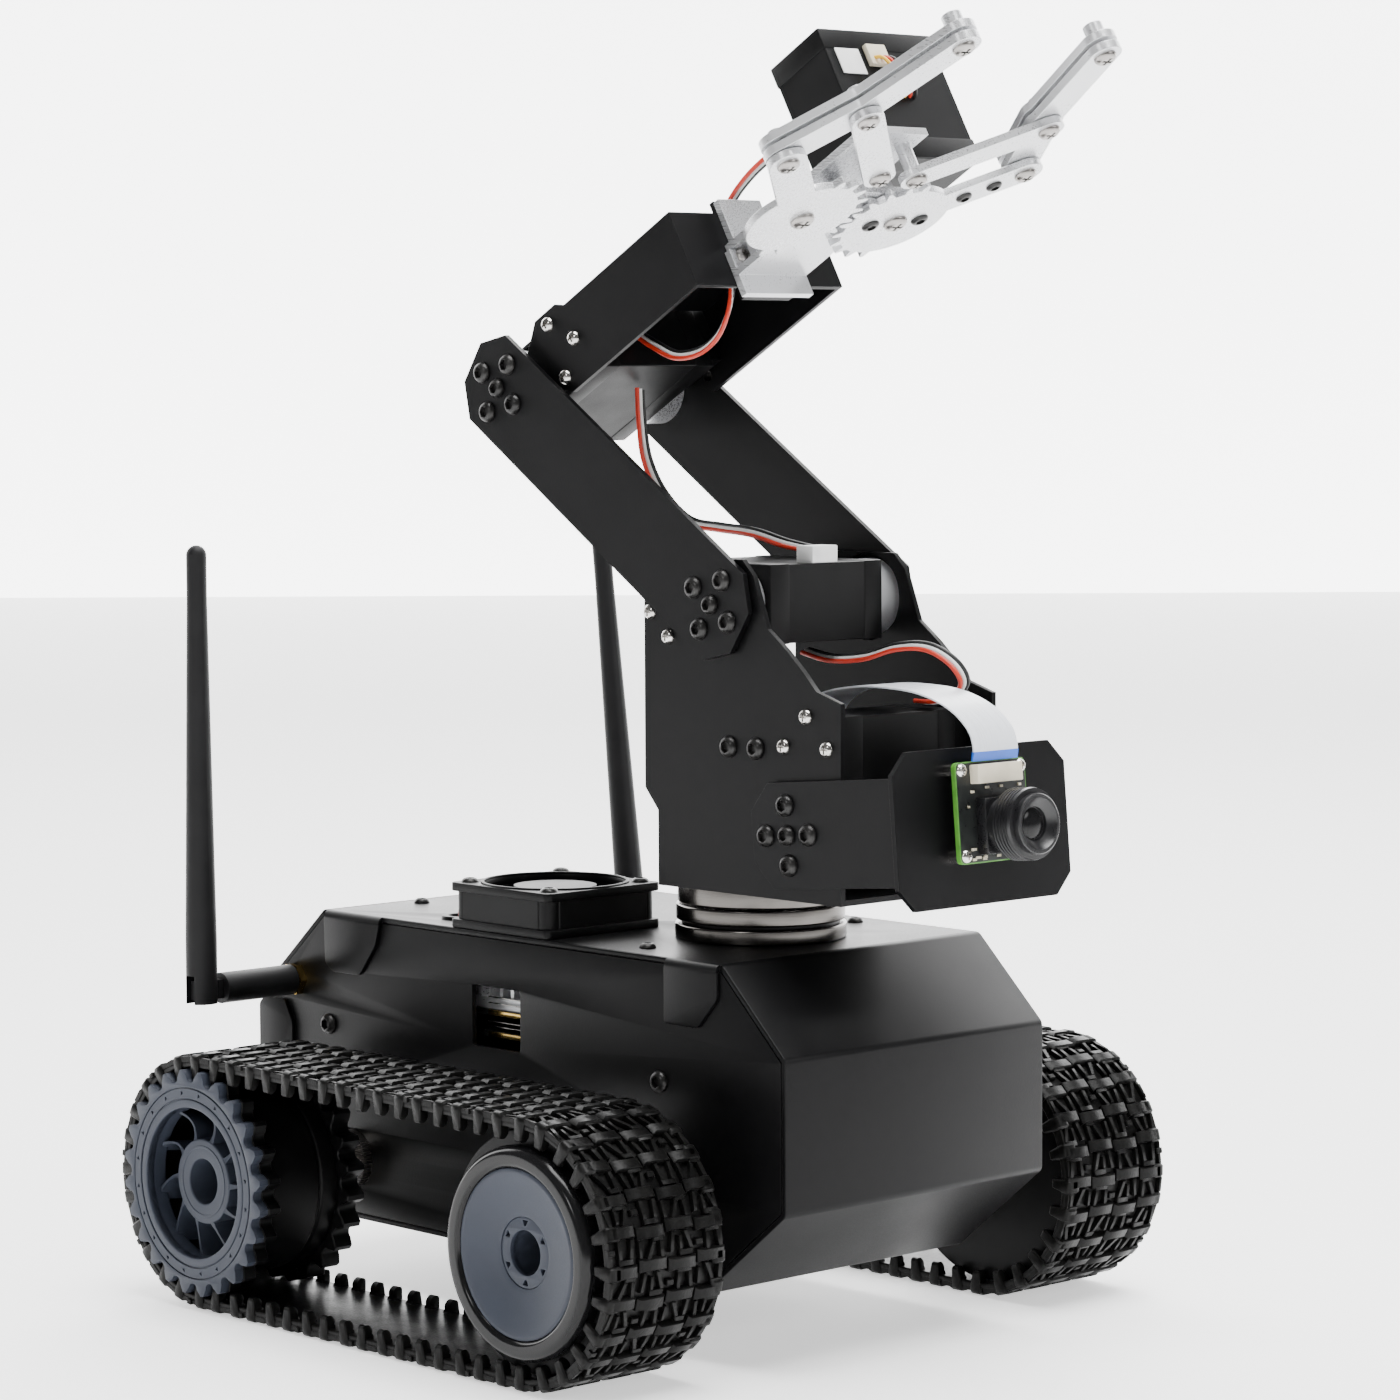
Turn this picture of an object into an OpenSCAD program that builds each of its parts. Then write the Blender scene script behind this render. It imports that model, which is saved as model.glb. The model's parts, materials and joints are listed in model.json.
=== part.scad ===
// Small tracked robot: sheet-metal hull on two rubber tracks, with a turntable that
// carries a three-servo arm, a parallel gripper and a tilting camera.
// +X is forward, +Z is up, the ground is z = 0, and the origin is below the middle of
// the whole robot.  Heights and lengths are measured from a working origin midway
// between the wheel axles; place() moves the finished parts to the model's own origin.

/* [Hull] */
// Half the width of the sheet-metal hull
hull_half_w = 46.4; // [44:0.1:48]
// Height of the deck above the ground
deck_z = 101.4; // [98:0.1:106]
// Height of the hull floor's underside above the ground
floor_z = 17.4; // [15:0.1:20]
// Thickness of the hull and arm sheet
sheet = 1.6; // [1.2:0.1:1.8]
// Side length of the square cooling fan
fan_w = 40; // [38:1:40]

/* [Tracks and wheels] */
// Distance between the front and rear axles
wheelbase = 131.3; // [128:0.1:134]
// Radius over the track's lugs
track_r = 34.1; // [33.5:0.1:34.5]
// Distance from the middle of the robot to the outer face of a wheel
wheel_face_y = 101.3; // [100:0.1:104]
// Width of one track
track_w = 38; // [34:1:38]
// Number of sprocket teeth
teeth = 24; // [20:1:26]

/* [Arm] */
// Height of the shoulder axis above the ground
shoulder_z = 189.4; // [188:0.1:192]
// Distance between the shoulder and elbow axes
upper_len = 98.7; // [95:0.1:102]
// Angle of the resting upper arm above the rearward horizontal
upper_angle = 33.5; // [30:0.5:36]
// Angle of the resting forearm above the forward horizontal
fore_angle = 29.5; // [26:0.5:33]
// Width of an upper-arm plate
arm_w = 26.7; // [25:0.1:28]

/* [Gripper] */
// Length of the gripper's cranks and links between pivots
crank_len = 35.4; // [34:0.1:36]
// Resting angle of the cranks from the forearm's own direction
crank_angle = 46; // [44:1:48]

/* [Camera and antennas] */
// Resting upward tilt of the camera
camera_tilt = 5; // [0:1:8]
// Height of an antenna above its hinge
antenna_len = 121; // [100:1:125]
// Rearward lean of the left antenna
left_lean = 6.5; // [0:0.5:10]

/* [Hidden] */
$fn = 48;
axle_x = wheelbase / 2;
axle_z = track_r;
// hull ends and folds
rear_x = -105.9;
front_x = 104.3;
deck_rear_x = -77.9;
deck_front_x = 81.8;
fold_low_z = 41.2;
// track: belt between the wheels' running radius and the lug faces
belt_in = 30.65;
belt_out = 32.3;
tooth_r = 30.25;
root_r = 26.9;
lugs_half = 12;
lugs_run = 17;
track_y0 = wheel_face_y - 1.5 - track_w;
// running clearance of shafts in their bores, and gap between parts that pass each other
fit = 0.05;
gap = 0.3;
// servo case, measured from its output axis
servo_front = 11.5;
servo_back = 29.5;
servo_half_t = 10;
servo_half_h = 20;
horn_r = 10;
spline_r = 3;
spline_len = 3;
// arm plates, measured from the robot's middle to their outer faces
base_y = 27.8;
arm_y = 29.8;
plate_t = 1.5;
arm_round = 12.5;
arm_chamfer = 7.2;
pan_x = 47.25;
shoulder_x = 60.5;
elbow_x = shoulder_x - upper_len * cos(upper_angle);
elbow_z = shoulder_z + upper_len * sin(upper_angle);
tilt_x = 88.1;
tilt_z = 132.9;
base_z = 116.3;
ring_r = 22.4;
fan_x = -4.4;
fan_y = -hull_half_w + 0.4 + fan_w / 2;
fan_h = 12;
antenna_x = -90;
antenna_y = 79;
antenna_z = 81;
pin_r = 1.2;
// gripper pivots in the forearm's frame, and the length and inward step of a fingertip
gear_u = 109.5;
gear_y = 16.5;
link_u = 129.5;
link_y = 6.5;
jaw_m = -12.8;
tip_u = 30;
tip_v = 7;
tip_r = 4.5;
// heights of the gripper's layers above the cranks' middle plane
bar_1 = 1.3;
bar_2 = 4.5;
bar_t = 2.2;
low_plate = 1.3;
high_plate = 9;
mount_t = 2;
pivot_r = 2;
crank_u = crank_len * cos(crank_angle);
crank_v = crank_len * sin(crank_angle);
// ends of the whole robot, front to back, and the middle between them
bezel = 1.5;
reach_x = elbow_x + (link_u + crank_u + tip_u + tip_r) * cos(fore_angle)
    - (jaw_m + bar_1) * sin(fore_angle);
x_shift = (reach_x + rear_x - bezel) / 2;

// ---- shared shapes ----

// moves the finished robot to the model's own origin
module place() { translate([-x_shift, 0, 0]) children(); }

// a side-view outline made solid from y0 to y1
module along_y(y0, y1) {
    translate([0, y1, 0]) rotate([90, 0, 0]) linear_extrude(y1 - y0) children();
}

// a front-view outline made solid from x0 to x1
module along_x(x0, x1) {
    translate([x0, 0, 0]) rotate([90, 0, 90]) linear_extrude(x1 - x0) children();
}

// a round bar along Y
module rod_y(x, z, r, y0, y1) {
    translate([x, y0, z]) rotate([-90, 0, 0]) cylinder(r = r, h = y1 - y0);
}

// a block from its lowest to its highest corner
module block(low, high) { translate(low) cube(high - low); }

// right side of the robot is -Y, and the left side is its mirror image
module on_left() { mirror([0, 1, 0]) children(); }
module both_sides() { children(); on_left() children(); }

module in_upper_arm() {
    translate([shoulder_x, 0, shoulder_z]) rotate([0, 180 + upper_angle, 0]) children();
}

module in_forearm() {
    translate([elbow_x, 0, elbow_z]) rotate([0, -fore_angle, 0]) children();
}

module in_camera() {
    translate([tilt_x, 0, tilt_z]) rotate([0, -camera_tilt, 0]) children();
}

// flat bar with round ends
module bar(p, q, r) {
    d = q - p;
    translate(p) circle(r = r);
    translate(q) circle(r = r);
    translate(p) rotate(atan2(d[1], d[0])) translate([0, -r]) square([norm(d), 2 * r]);
}

// button-head screw with a hexagon socket, pointing along -Z, head on z = 0
module button_screw(grip, head_r = 2.85) {
    difference() {
        cylinder(r = head_r, h = 1.7);
        translate([0, 0, 0.7]) cylinder(r = 1.45, h = 2, $fn = 6);
    }
    translate([0, 0, -grip]) cylinder(r = 1.5, h = grip);
}

// puts a screw on the face at distance y on the right side, or on a mirrored left side
module screw_y(x, z, y, grip = plate_t) {
    translate([x, -y, z]) rotate([90, 0, 0]) button_screw(grip);
}

// outline pulled in by t, for convex outlines drawn anticlockwise
function edge_normal(a, b) = [b[1] - a[1], a[0] - b[0]] / norm(b - a);
function inset(pts, t) = [for (i = [0 : len(pts) - 1])
    let (n = len(pts), p = pts[i],
         n1 = edge_normal(pts[(i + n - 1) % n], p), n2 = edge_normal(p, pts[(i + 1) % n]))
    p - t * (n1 + n2) / (1 + n1 * n2)];

// centres of the four screws round a servo horn
horn_screws = [for (k = [0 : 3]) 7.5 * [cos(90 * k), sin(90 * k)]];

// ---- hull ----

// side outline of the hull, anticlockwise from the low rear corner
hull_out = [[-76, floor_z], [74.8, floor_z], [front_x, fold_low_z], [front_x, 80],
    [deck_front_x, deck_z], [deck_rear_x, deck_z], [rear_x, 77], [rear_x, fold_low_z]];
hull_in = inset(hull_out, sheet);

// the folded sheet between two corners of the outline
module hull_strip(from, to) {
    polygon(concat([for (i = [from : to]) hull_out[i % 8]],
        [for (i = [to : -1 : from]) hull_in[i % 8]]));
}

window_x0 = -14.7;
window_x1 = 4.7;
window_z0 = 70.8;
window_z1 = 87;
side_screws = [[-75.8, 69.9], [58.7, 69.6]];

module hull_tub() {
    color([0.06, 0.06, 0.065]) difference() {
        union() {
            along_y(-hull_half_w, hull_half_w) hull_strip(0, 1);
            both_sides() along_y(-hull_half_w, -hull_half_w + sheet) polygon(hull_in);
        }
        block([window_x0, -hull_half_w - 1, window_z0], [window_x1, -hull_half_w + 3, window_z1]);
        for (p = side_screws) rod_y(p[0], p[1], 1.5, -60, 60);
        rod_y(axle_x, axle_z, 4, -60, 60);
        rod_y(-axle_x, axle_z, 8, -60, 60);
        rod_y(antenna_x, antenna_z, 3.1, -60, 60);
    }
}

// flap of the deck folded down over a side panel
module deck_flap(pts) {
    along_y(-hull_half_w - 1.2, -hull_half_w) polygon(pts);
}

deck_screws = [[-70, 18], [-70, -18], [44.6, 37.4], [44.6, -37.4]];
wire_hole = [-36, -32];

module deck_plate() {
    color([0.06, 0.06, 0.065]) difference() {
        union() {
            along_y(-hull_half_w, hull_half_w) hull_strip(4, 5);
            both_sides() {
                deck_flap([[-77.9, deck_z], [-76, 86], [-73, 84.8], [-61, 84.8],
                    [-54, 93.6], [-51.5, deck_z]]);
                deck_flap([[61, deck_z], [61, 84.8], [73.8, 84.8], [81.3, 92.8], [81.3, deck_z]]);
            }
        }
        translate([fan_x, fan_y, deck_z - 5]) cylinder(r = 18.5, h = 10);
        translate([pan_x, 0, deck_z - 5]) cylinder(r = 9, h = 10);
        translate([wire_hole[0], wire_hole[1], deck_z - 5]) cylinder(r = 4.5, h = 10);
        for (p = deck_screws) translate([p[0], p[1], deck_z - 5]) cylinder(r = 1.5, h = 10);
    }
}

module front_cover() {
    color([0.06, 0.06, 0.065]) along_y(-hull_half_w, hull_half_w) hull_strip(1, 4);
}

switch_y = 24;
jack_y = -24;
rear_parts_z = 60;

module rear_cover() {
    color([0.06, 0.06, 0.065]) difference() {
        union() {
            along_y(-hull_half_w, hull_half_w) hull_strip(5, 8);
            both_sides() deck_flap([[rear_x, fold_low_z], [-91, fold_low_z], [-91, 69],
                [-94.5, 75], [rear_x, 75]]);
        }
        block([rear_x - 1, switch_y - 9.5, rear_parts_z - 6], [rear_x + 5, switch_y + 9.5,
            rear_parts_z + 6]);
        translate([rear_x - 1, jack_y, rear_parts_z]) rotate([0, 90, 0]) cylinder(r = 5, h = 6);
    }
}

module hull_screws() {
    color([0.1, 0.1, 0.1]) {
        both_sides() for (p = side_screws) screw_y(p[0], p[1], hull_half_w, sheet);
        for (p = deck_screws) translate([p[0], p[1], deck_z]) button_screw(sheet, 2.2);
    }
}

// ---- things in and on the hull ----

module fan_frame() {
    color([0.05, 0.05, 0.05]) translate([fan_x, fan_y, deck_z]) {
        difference() {
            translate([-fan_w / 2, -fan_w / 2, 0]) cube([fan_w, fan_w, fan_h]);
            translate([0, 0, -1]) cylinder(r = 18.8, h = fan_h + 2);
            for (k = [0 : 3]) rotate(90 * k)
                translate([fan_w / 2 - 3, -fan_w / 2 + 7, 2]) cube([4, fan_w - 14, fan_h - 4]);
        }
        difference() {
            translate([0, 0, 0.2]) cylinder(r = 11, h = 1.8);
            translate([0, 0, 1]) cylinder(r = 5, h = 2);
        }
        translate([0, 0, 0.5]) cylinder(r = 2, h = 8);
        for (k = [0 : 3]) rotate(90 * k + 45) translate([10, -1, 0.4]) cube([10, 2, 1.6]);
    }
}

module fan_rotor() {
    color([0.04, 0.04, 0.045]) translate([fan_x, fan_y, deck_z]) difference() {
        union() {
            translate([0, 0, 2.6]) cylinder(r = 11, h = 8.6);
            for (k = [0 : 6]) rotate(360 / 7 * k) translate([9.5, 0, 6.8])
                rotate([38, 0, 0]) translate([0, -5, -0.6]) cube([8.4, 10, 1.2]);
        }
        translate([0, 0, 1]) cylinder(r = 2 + fit, h = 8);
    }
}

// a round lead swept along points chosen by hand
function ring_at(pts, i, r, n) =
    let (a = pts[max(i - 1, 0)], b = pts[min(i + 1, len(pts) - 1)], t = (b - a) / norm(b - a),
         s = cross(t, [0.3, 0.1, 0.95]), u = s / norm(s), v = cross(t, u))
    [for (k = [0 : n - 1]) pts[i] + r * (cos(360 * k / n) * u + sin(360 * k / n) * v)];

// points of a smooth curve through the route, steps per stretch
function smooth(pts, steps) = [for (i = [0 : len(pts) - 2]) for (k = [0 : steps - 1])
    let (p0 = pts[max(i - 1, 0)], p1 = pts[i], p2 = pts[i + 1],
         p3 = pts[min(i + 2, len(pts) - 1)], t = k / steps)
    0.5 * (2 * p1 + (p2 - p0) * t + (2 * p0 - 5 * p1 + 4 * p2 - p3) * t * t
        + (3 * p1 - p0 - 3 * p2 + p3) * t * t * t),
    pts[len(pts) - 1]];

module lead(route, r, n = 8, steps = 3) {
    pts = smooth(route, steps);
    m = len(pts);
    polyhedron(
        points = [for (i = [0 : m - 1]) each ring_at(pts, i, r, n)],
        faces = concat([[for (k = [0 : n - 1]) k]],
            [for (i = [0 : m - 2]) for (k = [0 : n - 1])
                [i * n + k, (i + 1) * n + k, (i + 1) * n + (k + 1) % n, i * n + (k + 1) % n]],
            [[for (k = [n - 1 : -1 : 0]) (m - 1) * n + k]]));
}

fan_lead_route = [[-24.6, -36, 104], [-28, -35.4, 106.4], [-33, -33.6, 106], [-35.6, -32.2, 102],
    [-36, -32, 97]];

module fan_lead() { color([0.85, 0.65, 0.1]) lead(fan_lead_route, 1.3); }

module antenna_sockets() {
    color([0.85, 0.65, 0.25]) both_sides() difference() {
        union() {
            rod_y(antenna_x, antenna_z, 3, -hull_half_w - 6.5, -hull_half_w + 7);
            rod_y(antenna_x, antenna_z, 4.6, -hull_half_w - 2.2, -hull_half_w, $fn = 6);
        }
        rod_y(antenna_x, antenna_z, 1, -hull_half_w - 7, -hull_half_w - 1);
    }
}

module computer_stack() {
    color([0.05, 0.3, 0.12]) {
        block([-62, -41, 72.6], [14, 41, 74.2]);
        block([-50, -41, 78.4], [14, 41, 80]);
        for (x = [-46, 10], y = [-36, 36]) translate([x, y, 74.2]) cylinder(r = 2.5, h = 4.2);
    }
}

module heat_sink() {
    color([0.6, 0.6, 0.62]) {
        block([-24, -40, 80], [8, -8, 83]);
        for (k = [0 : 7]) block([-24 + 4.4 * k, -40, 83], [-22.8 + 4.4 * k, -8, 94]);
    }
}

module battery_pack() {
    color([0.15, 0.35, 0.7]) {
        for (y = [-20, 0, 20]) translate([-30, y, 29.4]) rotate([0, 90, 0])
            cylinder(r = 9.2, h = 68);
        block([-31, -30, floor_z + sheet], [39, 30, 21.5]);
    }
}

module drive_motors() {
    color([0.55, 0.55, 0.57]) both_sides() difference() {
        union() {
            rod_y(-axle_x, axle_z, 12, -hull_half_w + sheet, -6);
            rod_y(-axle_x, axle_z, 7.9, -hull_half_w - 2.5, -hull_half_w + sheet);
        }
        rod_y(-axle_x, axle_z, spline_r + fit, -60, -28);
    }
}

module idler_axle() {
    color([0.7, 0.7, 0.7]) {
        rod_y(axle_x, axle_z, 3, -86, 86);
        both_sides() rod_y(axle_x, axle_z, 3.95, -hull_half_w, -hull_half_w + 4);
    }
}

module idler_bearings() {
    color([0.75, 0.75, 0.76]) both_sides() for (y = [-84, -68]) difference() {
        rod_y(axle_x, axle_z, 7, y, y + 4);
        rod_y(axle_x, axle_z, 3, y - 1, y + 5);
    }
}

// servo case with its output axis along Z through the origin, reaching back along +X
module servo_case() {
    difference() {
        translate([-servo_front, -servo_half_t, -servo_half_h])
            cube([servo_front + servo_back, 2 * servo_half_t, 2 * servo_half_h]);
        for (s = [-1, 1]) translate([0, 0, s * servo_half_h - 4])
            cylinder(r = spline_r + fit, h = 8);
    }
}

module pan_servo() {
    color([0.05, 0.05, 0.05]) translate([pan_x, 0, deck_z - sheet - 19.8]) difference() {
        translate([-servo_front, -servo_half_t, -19.8])
            cube([servo_front + servo_back, 2 * servo_half_t, 39.6]);
        translate([0, 0, 15]) cylinder(r = spline_r + fit, h = 8);
    }
}

module power_switch() {
    color([0.05, 0.05, 0.05]) difference() {
        union() {
            block([rear_x - bezel, switch_y - 10.5, rear_parts_z - 7],
                [rear_x, switch_y + 10.5, rear_parts_z + 7]);
            block([rear_x, switch_y - 9.5, rear_parts_z - 6],
                [rear_x + 14, switch_y + 9.5, rear_parts_z + 6]);
        }
        block([rear_x - 2, switch_y - 8, rear_parts_z - 4.5],
            [rear_x + 7, switch_y + 8, rear_parts_z + 4.5]);
    }
}

module power_rocker() {
    color([0.5, 0.05, 0.04]) translate([rear_x + 3.4, switch_y, rear_parts_z - 4.2])
        linear_extrude(8.4)
            polygon([[-3.4, -7], [-4.6, 7], [0.6, 7], [1.8, 0], [0.6, -7]]);
}

module charge_jack() {
    color([0.05, 0.05, 0.05]) translate([rear_x, jack_y, rear_parts_z]) rotate([0, 90, 0])
        difference() {
            union() {
                translate([0, 0, -bezel]) cylinder(r = 6, h = bezel);
                cylinder(r = 5, h = 13);
            }
            translate([0, 0, -2]) cylinder(r = 2.85, h = 11.5);
        }
}

// fixed rings of the thrust bearing under the arm
module turntable_base() {
    color([0.5, 0.48, 0.46]) translate([pan_x, 0, 0]) difference() {
        union() {
            translate([0, 0, deck_z]) cylinder(r = ring_r, h = 4);
            translate([0, 0, deck_z + 4]) cylinder(r = ring_r - 1.6, h = 0.8);
            translate([0, 0, deck_z + 4.8]) cylinder(r = ring_r - 0.3, h = 4.2);
        }
        translate([0, 0, deck_z - 1]) cylinder(r = 12, h = 12);
    }
}

// ---- running gear ----

module stadium(r) {
    for (s = [-1, 1]) translate([s * axle_x, axle_z]) circle(r = r);
    translate([-axle_x, axle_z - r]) square([wheelbase, 2 * r]);
}

module lug(y0, y1, half_w) {
    translate([-half_w, y0, belt_out - 0.6]) cube([2 * half_w, y1 - y0, track_r - belt_out + 0.6]);
}

// a row of lugs: one bar across and a block that alternates from side to side
module lug_row(k) {
    lug(track_y0, track_y0 + track_w, 1.2);
    shift = (k % 2) * 8;
    for (j = [0 : 1]) lug(track_y0 + 5 + shift + 16 * j, track_y0 + 9 + shift + 16 * j, 3.1);
}

module track() {
    color([0.05, 0.05, 0.05]) mirror([0, 1, 0]) {
        along_y(track_y0, track_y0 + track_w) difference() {
            stadium(belt_out);
            stadium(belt_in);
        }
        intersection() {
            union() {
                for (k = [0 : lugs_half]) {
                    translate([-axle_x, 0, axle_z]) rotate([0, -15 * k, 0]) lug_row(k);
                    translate([axle_x, 0, axle_z]) rotate([0, 15 * k, 0]) lug_row(k + 1);
                }
                for (k = [1 : lugs_run - 1], s = [0, 1])
                    translate([-axle_x + wheelbase * k / lugs_run, 0, axle_z])
                        rotate([0, 180 * s, 0]) lug_row(k);
            }
            along_y(track_y0, track_y0 + track_w) stadium(track_r);
        }
    }
}

module right_track() { track(); }
module left_track() { on_left() track(); }

tooth_side = [[root_r, -2.1], [tooth_r - 1, -1.3], [tooth_r, -0.6], [tooth_r, 0.6],
    [tooth_r - 1, 1.3], [root_r, 2.1]];

module tooth_ring(y0, y1, inner_r) {
    along_y(y0, y1) difference() {
        polygon([for (k = [0 : teeth - 1], p = tooth_side) let(a = (k + 0.5) * 360 / teeth)
            [p[0] * cos(a) - p[1] * sin(a), p[0] * sin(a) + p[1] * cos(a)]]);
        circle(r = inner_r);
    }
}

// rear wheel: two toothed rings joined by a drum, with an open spoked outer face
module sprocket() {
    color([0.3, 0.32, 0.37]) translate([-axle_x, 0, axle_z]) difference() {
        union() {
            tooth_ring(-wheel_face_y, -wheel_face_y + 7, 20.1);
            tooth_ring(-wheel_face_y + 29, -wheel_face_y + 35, 20.1);
            rotate([90, 0, 0]) {
                translate([0, 0, wheel_face_y - 30]) difference() {
                    cylinder(r = 25.8, h = 24);
                    translate([0, 0, -1]) cylinder(r = 22.5, h = 26);
                }
                translate([0, 0, wheel_face_y - 26]) cylinder(r = 11.4, h = 22);
                translate([0, 0, wheel_face_y - 24]) cylinder(r = 23, h = 3);
                for (k = [0 : 9]) rotate(36 * k) translate([10, -0.9, wheel_face_y - 12])
                    cube([13, 1.8, 8]);
            }
        }
        rotate([90, 0, 0]) {
            translate([0, 0, 60]) cylinder(r = spline_r, h = 60);
            translate([0, 0, wheel_face_y - 14]) cylinder(r = 6, h = 20);
        }
    }
}

module right_sprocket() { sprocket(); }
module left_sprocket() { on_left() sprocket(); }

module drive_shaft() {
    color([0.7, 0.7, 0.7]) rod_y(-axle_x, axle_z, spline_r, -wheel_face_y + 14, -30);
}

module right_drive_shaft() { drive_shaft(); }
module left_drive_shaft() { on_left() drive_shaft(); }

// front wheel: dished disc and drum turning on two ball bearings
module idler() {
    color([0.33, 0.36, 0.41]) translate([axle_x, 0, axle_z]) rotate([90, 0, 0]) difference() {
        union() {
            translate([0, 0, wheel_face_y - 36]) cylinder(r = 30.3, h = 30);
            translate([0, 0, wheel_face_y - 6]) cylinder(r = 21.1, h = 5.4);
        }
        translate([0, 0, wheel_face_y - 4]) cylinder(r1 = 8, r2 = 20.6, h = 4.1);
        translate([0, 0, 60]) cylinder(r = 7 + fit, h = 24.2);
        translate([0, 0, 60]) cylinder(r = 5.6, h = 60);
        for (k = [0 : 5]) rotate(60 * k) translate([7.4, -1.2, wheel_face_y - 8])
            cube([1.2, 2.4, 10]);
    }
}

module right_idler() { idler(); }
module left_idler() { on_left() idler(); }

module idler_tyre() {
    color([0.03, 0.03, 0.03]) translate([axle_x, 0, axle_z]) rotate([90, 0, 0])
        rotate_extrude() polygon([[21.1, wheel_face_y - 6], [26.65, wheel_face_y - 6],
            [26.65, wheel_face_y - 2], [25, wheel_face_y], [22.3, wheel_face_y],
            [21.1, wheel_face_y - 1]]);
}

module right_idler_tyre() { idler_tyre(); }
module left_idler_tyre() { on_left() idler_tyre(); }

// ---- antennas ----

// swivelling elbow on the socket, with a tongue for the whip's hinge pin
module knuckle(lean) {
    color([0.05, 0.05, 0.05]) translate([antenna_x, 0, antenna_z]) rotate([0, -lean, 0])
        difference() {
            union() {
                rod_y(0, 0, 4.2, -antenna_y + 6.2, -hull_half_w - 2.5);
                block([-1.5, -antenna_y - 2.5, -2.6], [1.5, -antenna_y + 7, 2.6]);
            }
            rod_y(0, 0, 3 + fit, -hull_half_w - 7, -hull_half_w);
            translate([-3, -antenna_y, 0]) rotate([0, 90, 0]) cylinder(r = pin_r + fit, h = 6);
        }
}

module right_antenna_knuckle() { knuckle(0); }
module left_antenna_knuckle() { on_left() knuckle(left_lean); }

// whip with a forked foot and a hinge pin along X
module antenna(lean) {
    color([0.05, 0.05, 0.05]) translate([antenna_x, -antenna_y, antenna_z])
        rotate([0, -lean, 0]) difference() {
            union() {
                translate([0, 0, -3.5]) cylinder(r = 4.25, h = 18);
                translate([0, 0, 14.5]) cylinder(r1 = 4.25, r2 = 2.75, h = antenna_len - 30);
                translate([0, 0, antenna_len - 15.5]) cylinder(r = 2.75, h = 13);
                translate([0, 0, antenna_len - 2.75]) sphere(r = 2.75);
                translate([-3, 0, 0]) rotate([0, 90, 0]) cylinder(r = pin_r, h = 6);
            }
            difference() {
                block([-1.8, -5, -5], [1.8, 5, 4.2]);
                translate([-3, 0, 0]) rotate([0, 90, 0]) cylinder(r = pin_r, h = 6);
            }
        }
}

module right_antenna() { antenna(0); }
module left_antenna() { on_left() antenna(left_lean); }

// ---- turntable and arm base ----

module turntable_top() {
    color([0.5, 0.48, 0.46]) translate([pan_x, 0, 0]) {
        difference() {
            translate([0, 0, deck_z + 9.3]) cylinder(r = ring_r - 0.8, h = base_z - deck_z - 9.3);
            translate([0, 0, deck_z]) cylinder(r = 12, h = 30);
        }
        translate([0, 0, deck_z + 2]) cylinder(r = 8, h = base_z - deck_z - 2);
        translate([0, 0, deck_z - sheet - 3]) cylinder(r = spline_r, h = 6);
        difference() {
            translate([0, 0, base_z - 2]) cylinder(r = 13, h = 2);
            translate([0, 0, base_z - 3]) cylinder(r = 7, h = 2);
        }
    }
}

base_top = 201;
base_side = [[38.3, base_z], [105, base_z], [105, 166.5], [96.4, 169.1], [92, 173.5],
    [86.2, 178.6], [79, 183.9], [74, base_top - 4], [70, base_top], [40, base_top],
    [33.4, base_top - 6], [33.4, 141.3], [38.3, 135.7]];
base_black = [[65, 153.6], [74.9, 153.7]];
base_silver = [[85, 154.8], [92.9, 162.7], [100.3, 155], [42.6, 180.6], [35.9, 186.7]];

module base_frame() {
    color([0.06, 0.06, 0.065]) difference() {
        union() {
            both_sides() along_y(-base_y, -base_y + plate_t) polygon(base_side);
            block([38.3, -base_y, base_z], [105, base_y, base_z + plate_t]);
        }
        rod_y(shoulder_x, shoulder_z, horn_r + 1.5, -40, 40);
        rod_y(tilt_x, tilt_z, horn_r + 1.5, -40, 40);
        for (p = concat(base_black, base_silver)) rod_y(p[0], p[1], 1.5, -40, 40);
        translate([pan_x, 0, base_z - 1]) cylinder(r = 4, h = 5);
        block([66, -9, base_z - 1], [69.4, 9, base_z + 3]);
    }
}

module base_screws() {
    color([0.3, 0.3, 0.3]) both_sides() {
        for (p = base_black) screw_y(p[0], p[1], base_y);
        for (p = base_silver) translate([p[0], -base_y, p[1]]) rotate([90, 0, 0])
            button_screw(plate_t, 2);
    }
}

module shoulder_servo() {
    color([0.05, 0.05, 0.05]) {
        translate([shoulder_x, 0, shoulder_z]) rotate([-90, 0, 0]) rotate([0, 0, 180])
            servo_case();
        both_sides() block([33.4, -base_y + plate_t, shoulder_z - 9],
            [44, -servo_half_h, shoulder_z + 9]);
    }
}

module tilt_servo() {
    color([0.05, 0.05, 0.05]) {
        translate([tilt_x, 0, tilt_z]) rotate([0, -90, 0]) rotate([-90, 0, 0]) servo_case();
        both_sides() block([tilt_x - 8, -base_y + plate_t, tilt_z + 18],
            [tilt_x + 8, -servo_half_h, tilt_z + 29]);
    }
}

// ---- camera ----

bracket_x = 38.9;
bracket_half = 30.8;
bracket_h = 19.5;
board_x = 42;

// rectangle with cut corners
module cut_rect(x0, y0, x1, y1, c) {
    polygon([[x0 + c, y0], [x1 - c, y0], [x1, y0 + c], [x1, y1 - c], [x1 - c, y1],
        [x0 + c, y1], [x0, y1 - c], [x0, y0 + c]]);
}

module horn_holes(x) {
    for (p = concat([[0, 0]], horn_screws)) rod_y(x + p[0], p[1], 1.5, -60, 60);
}

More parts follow.
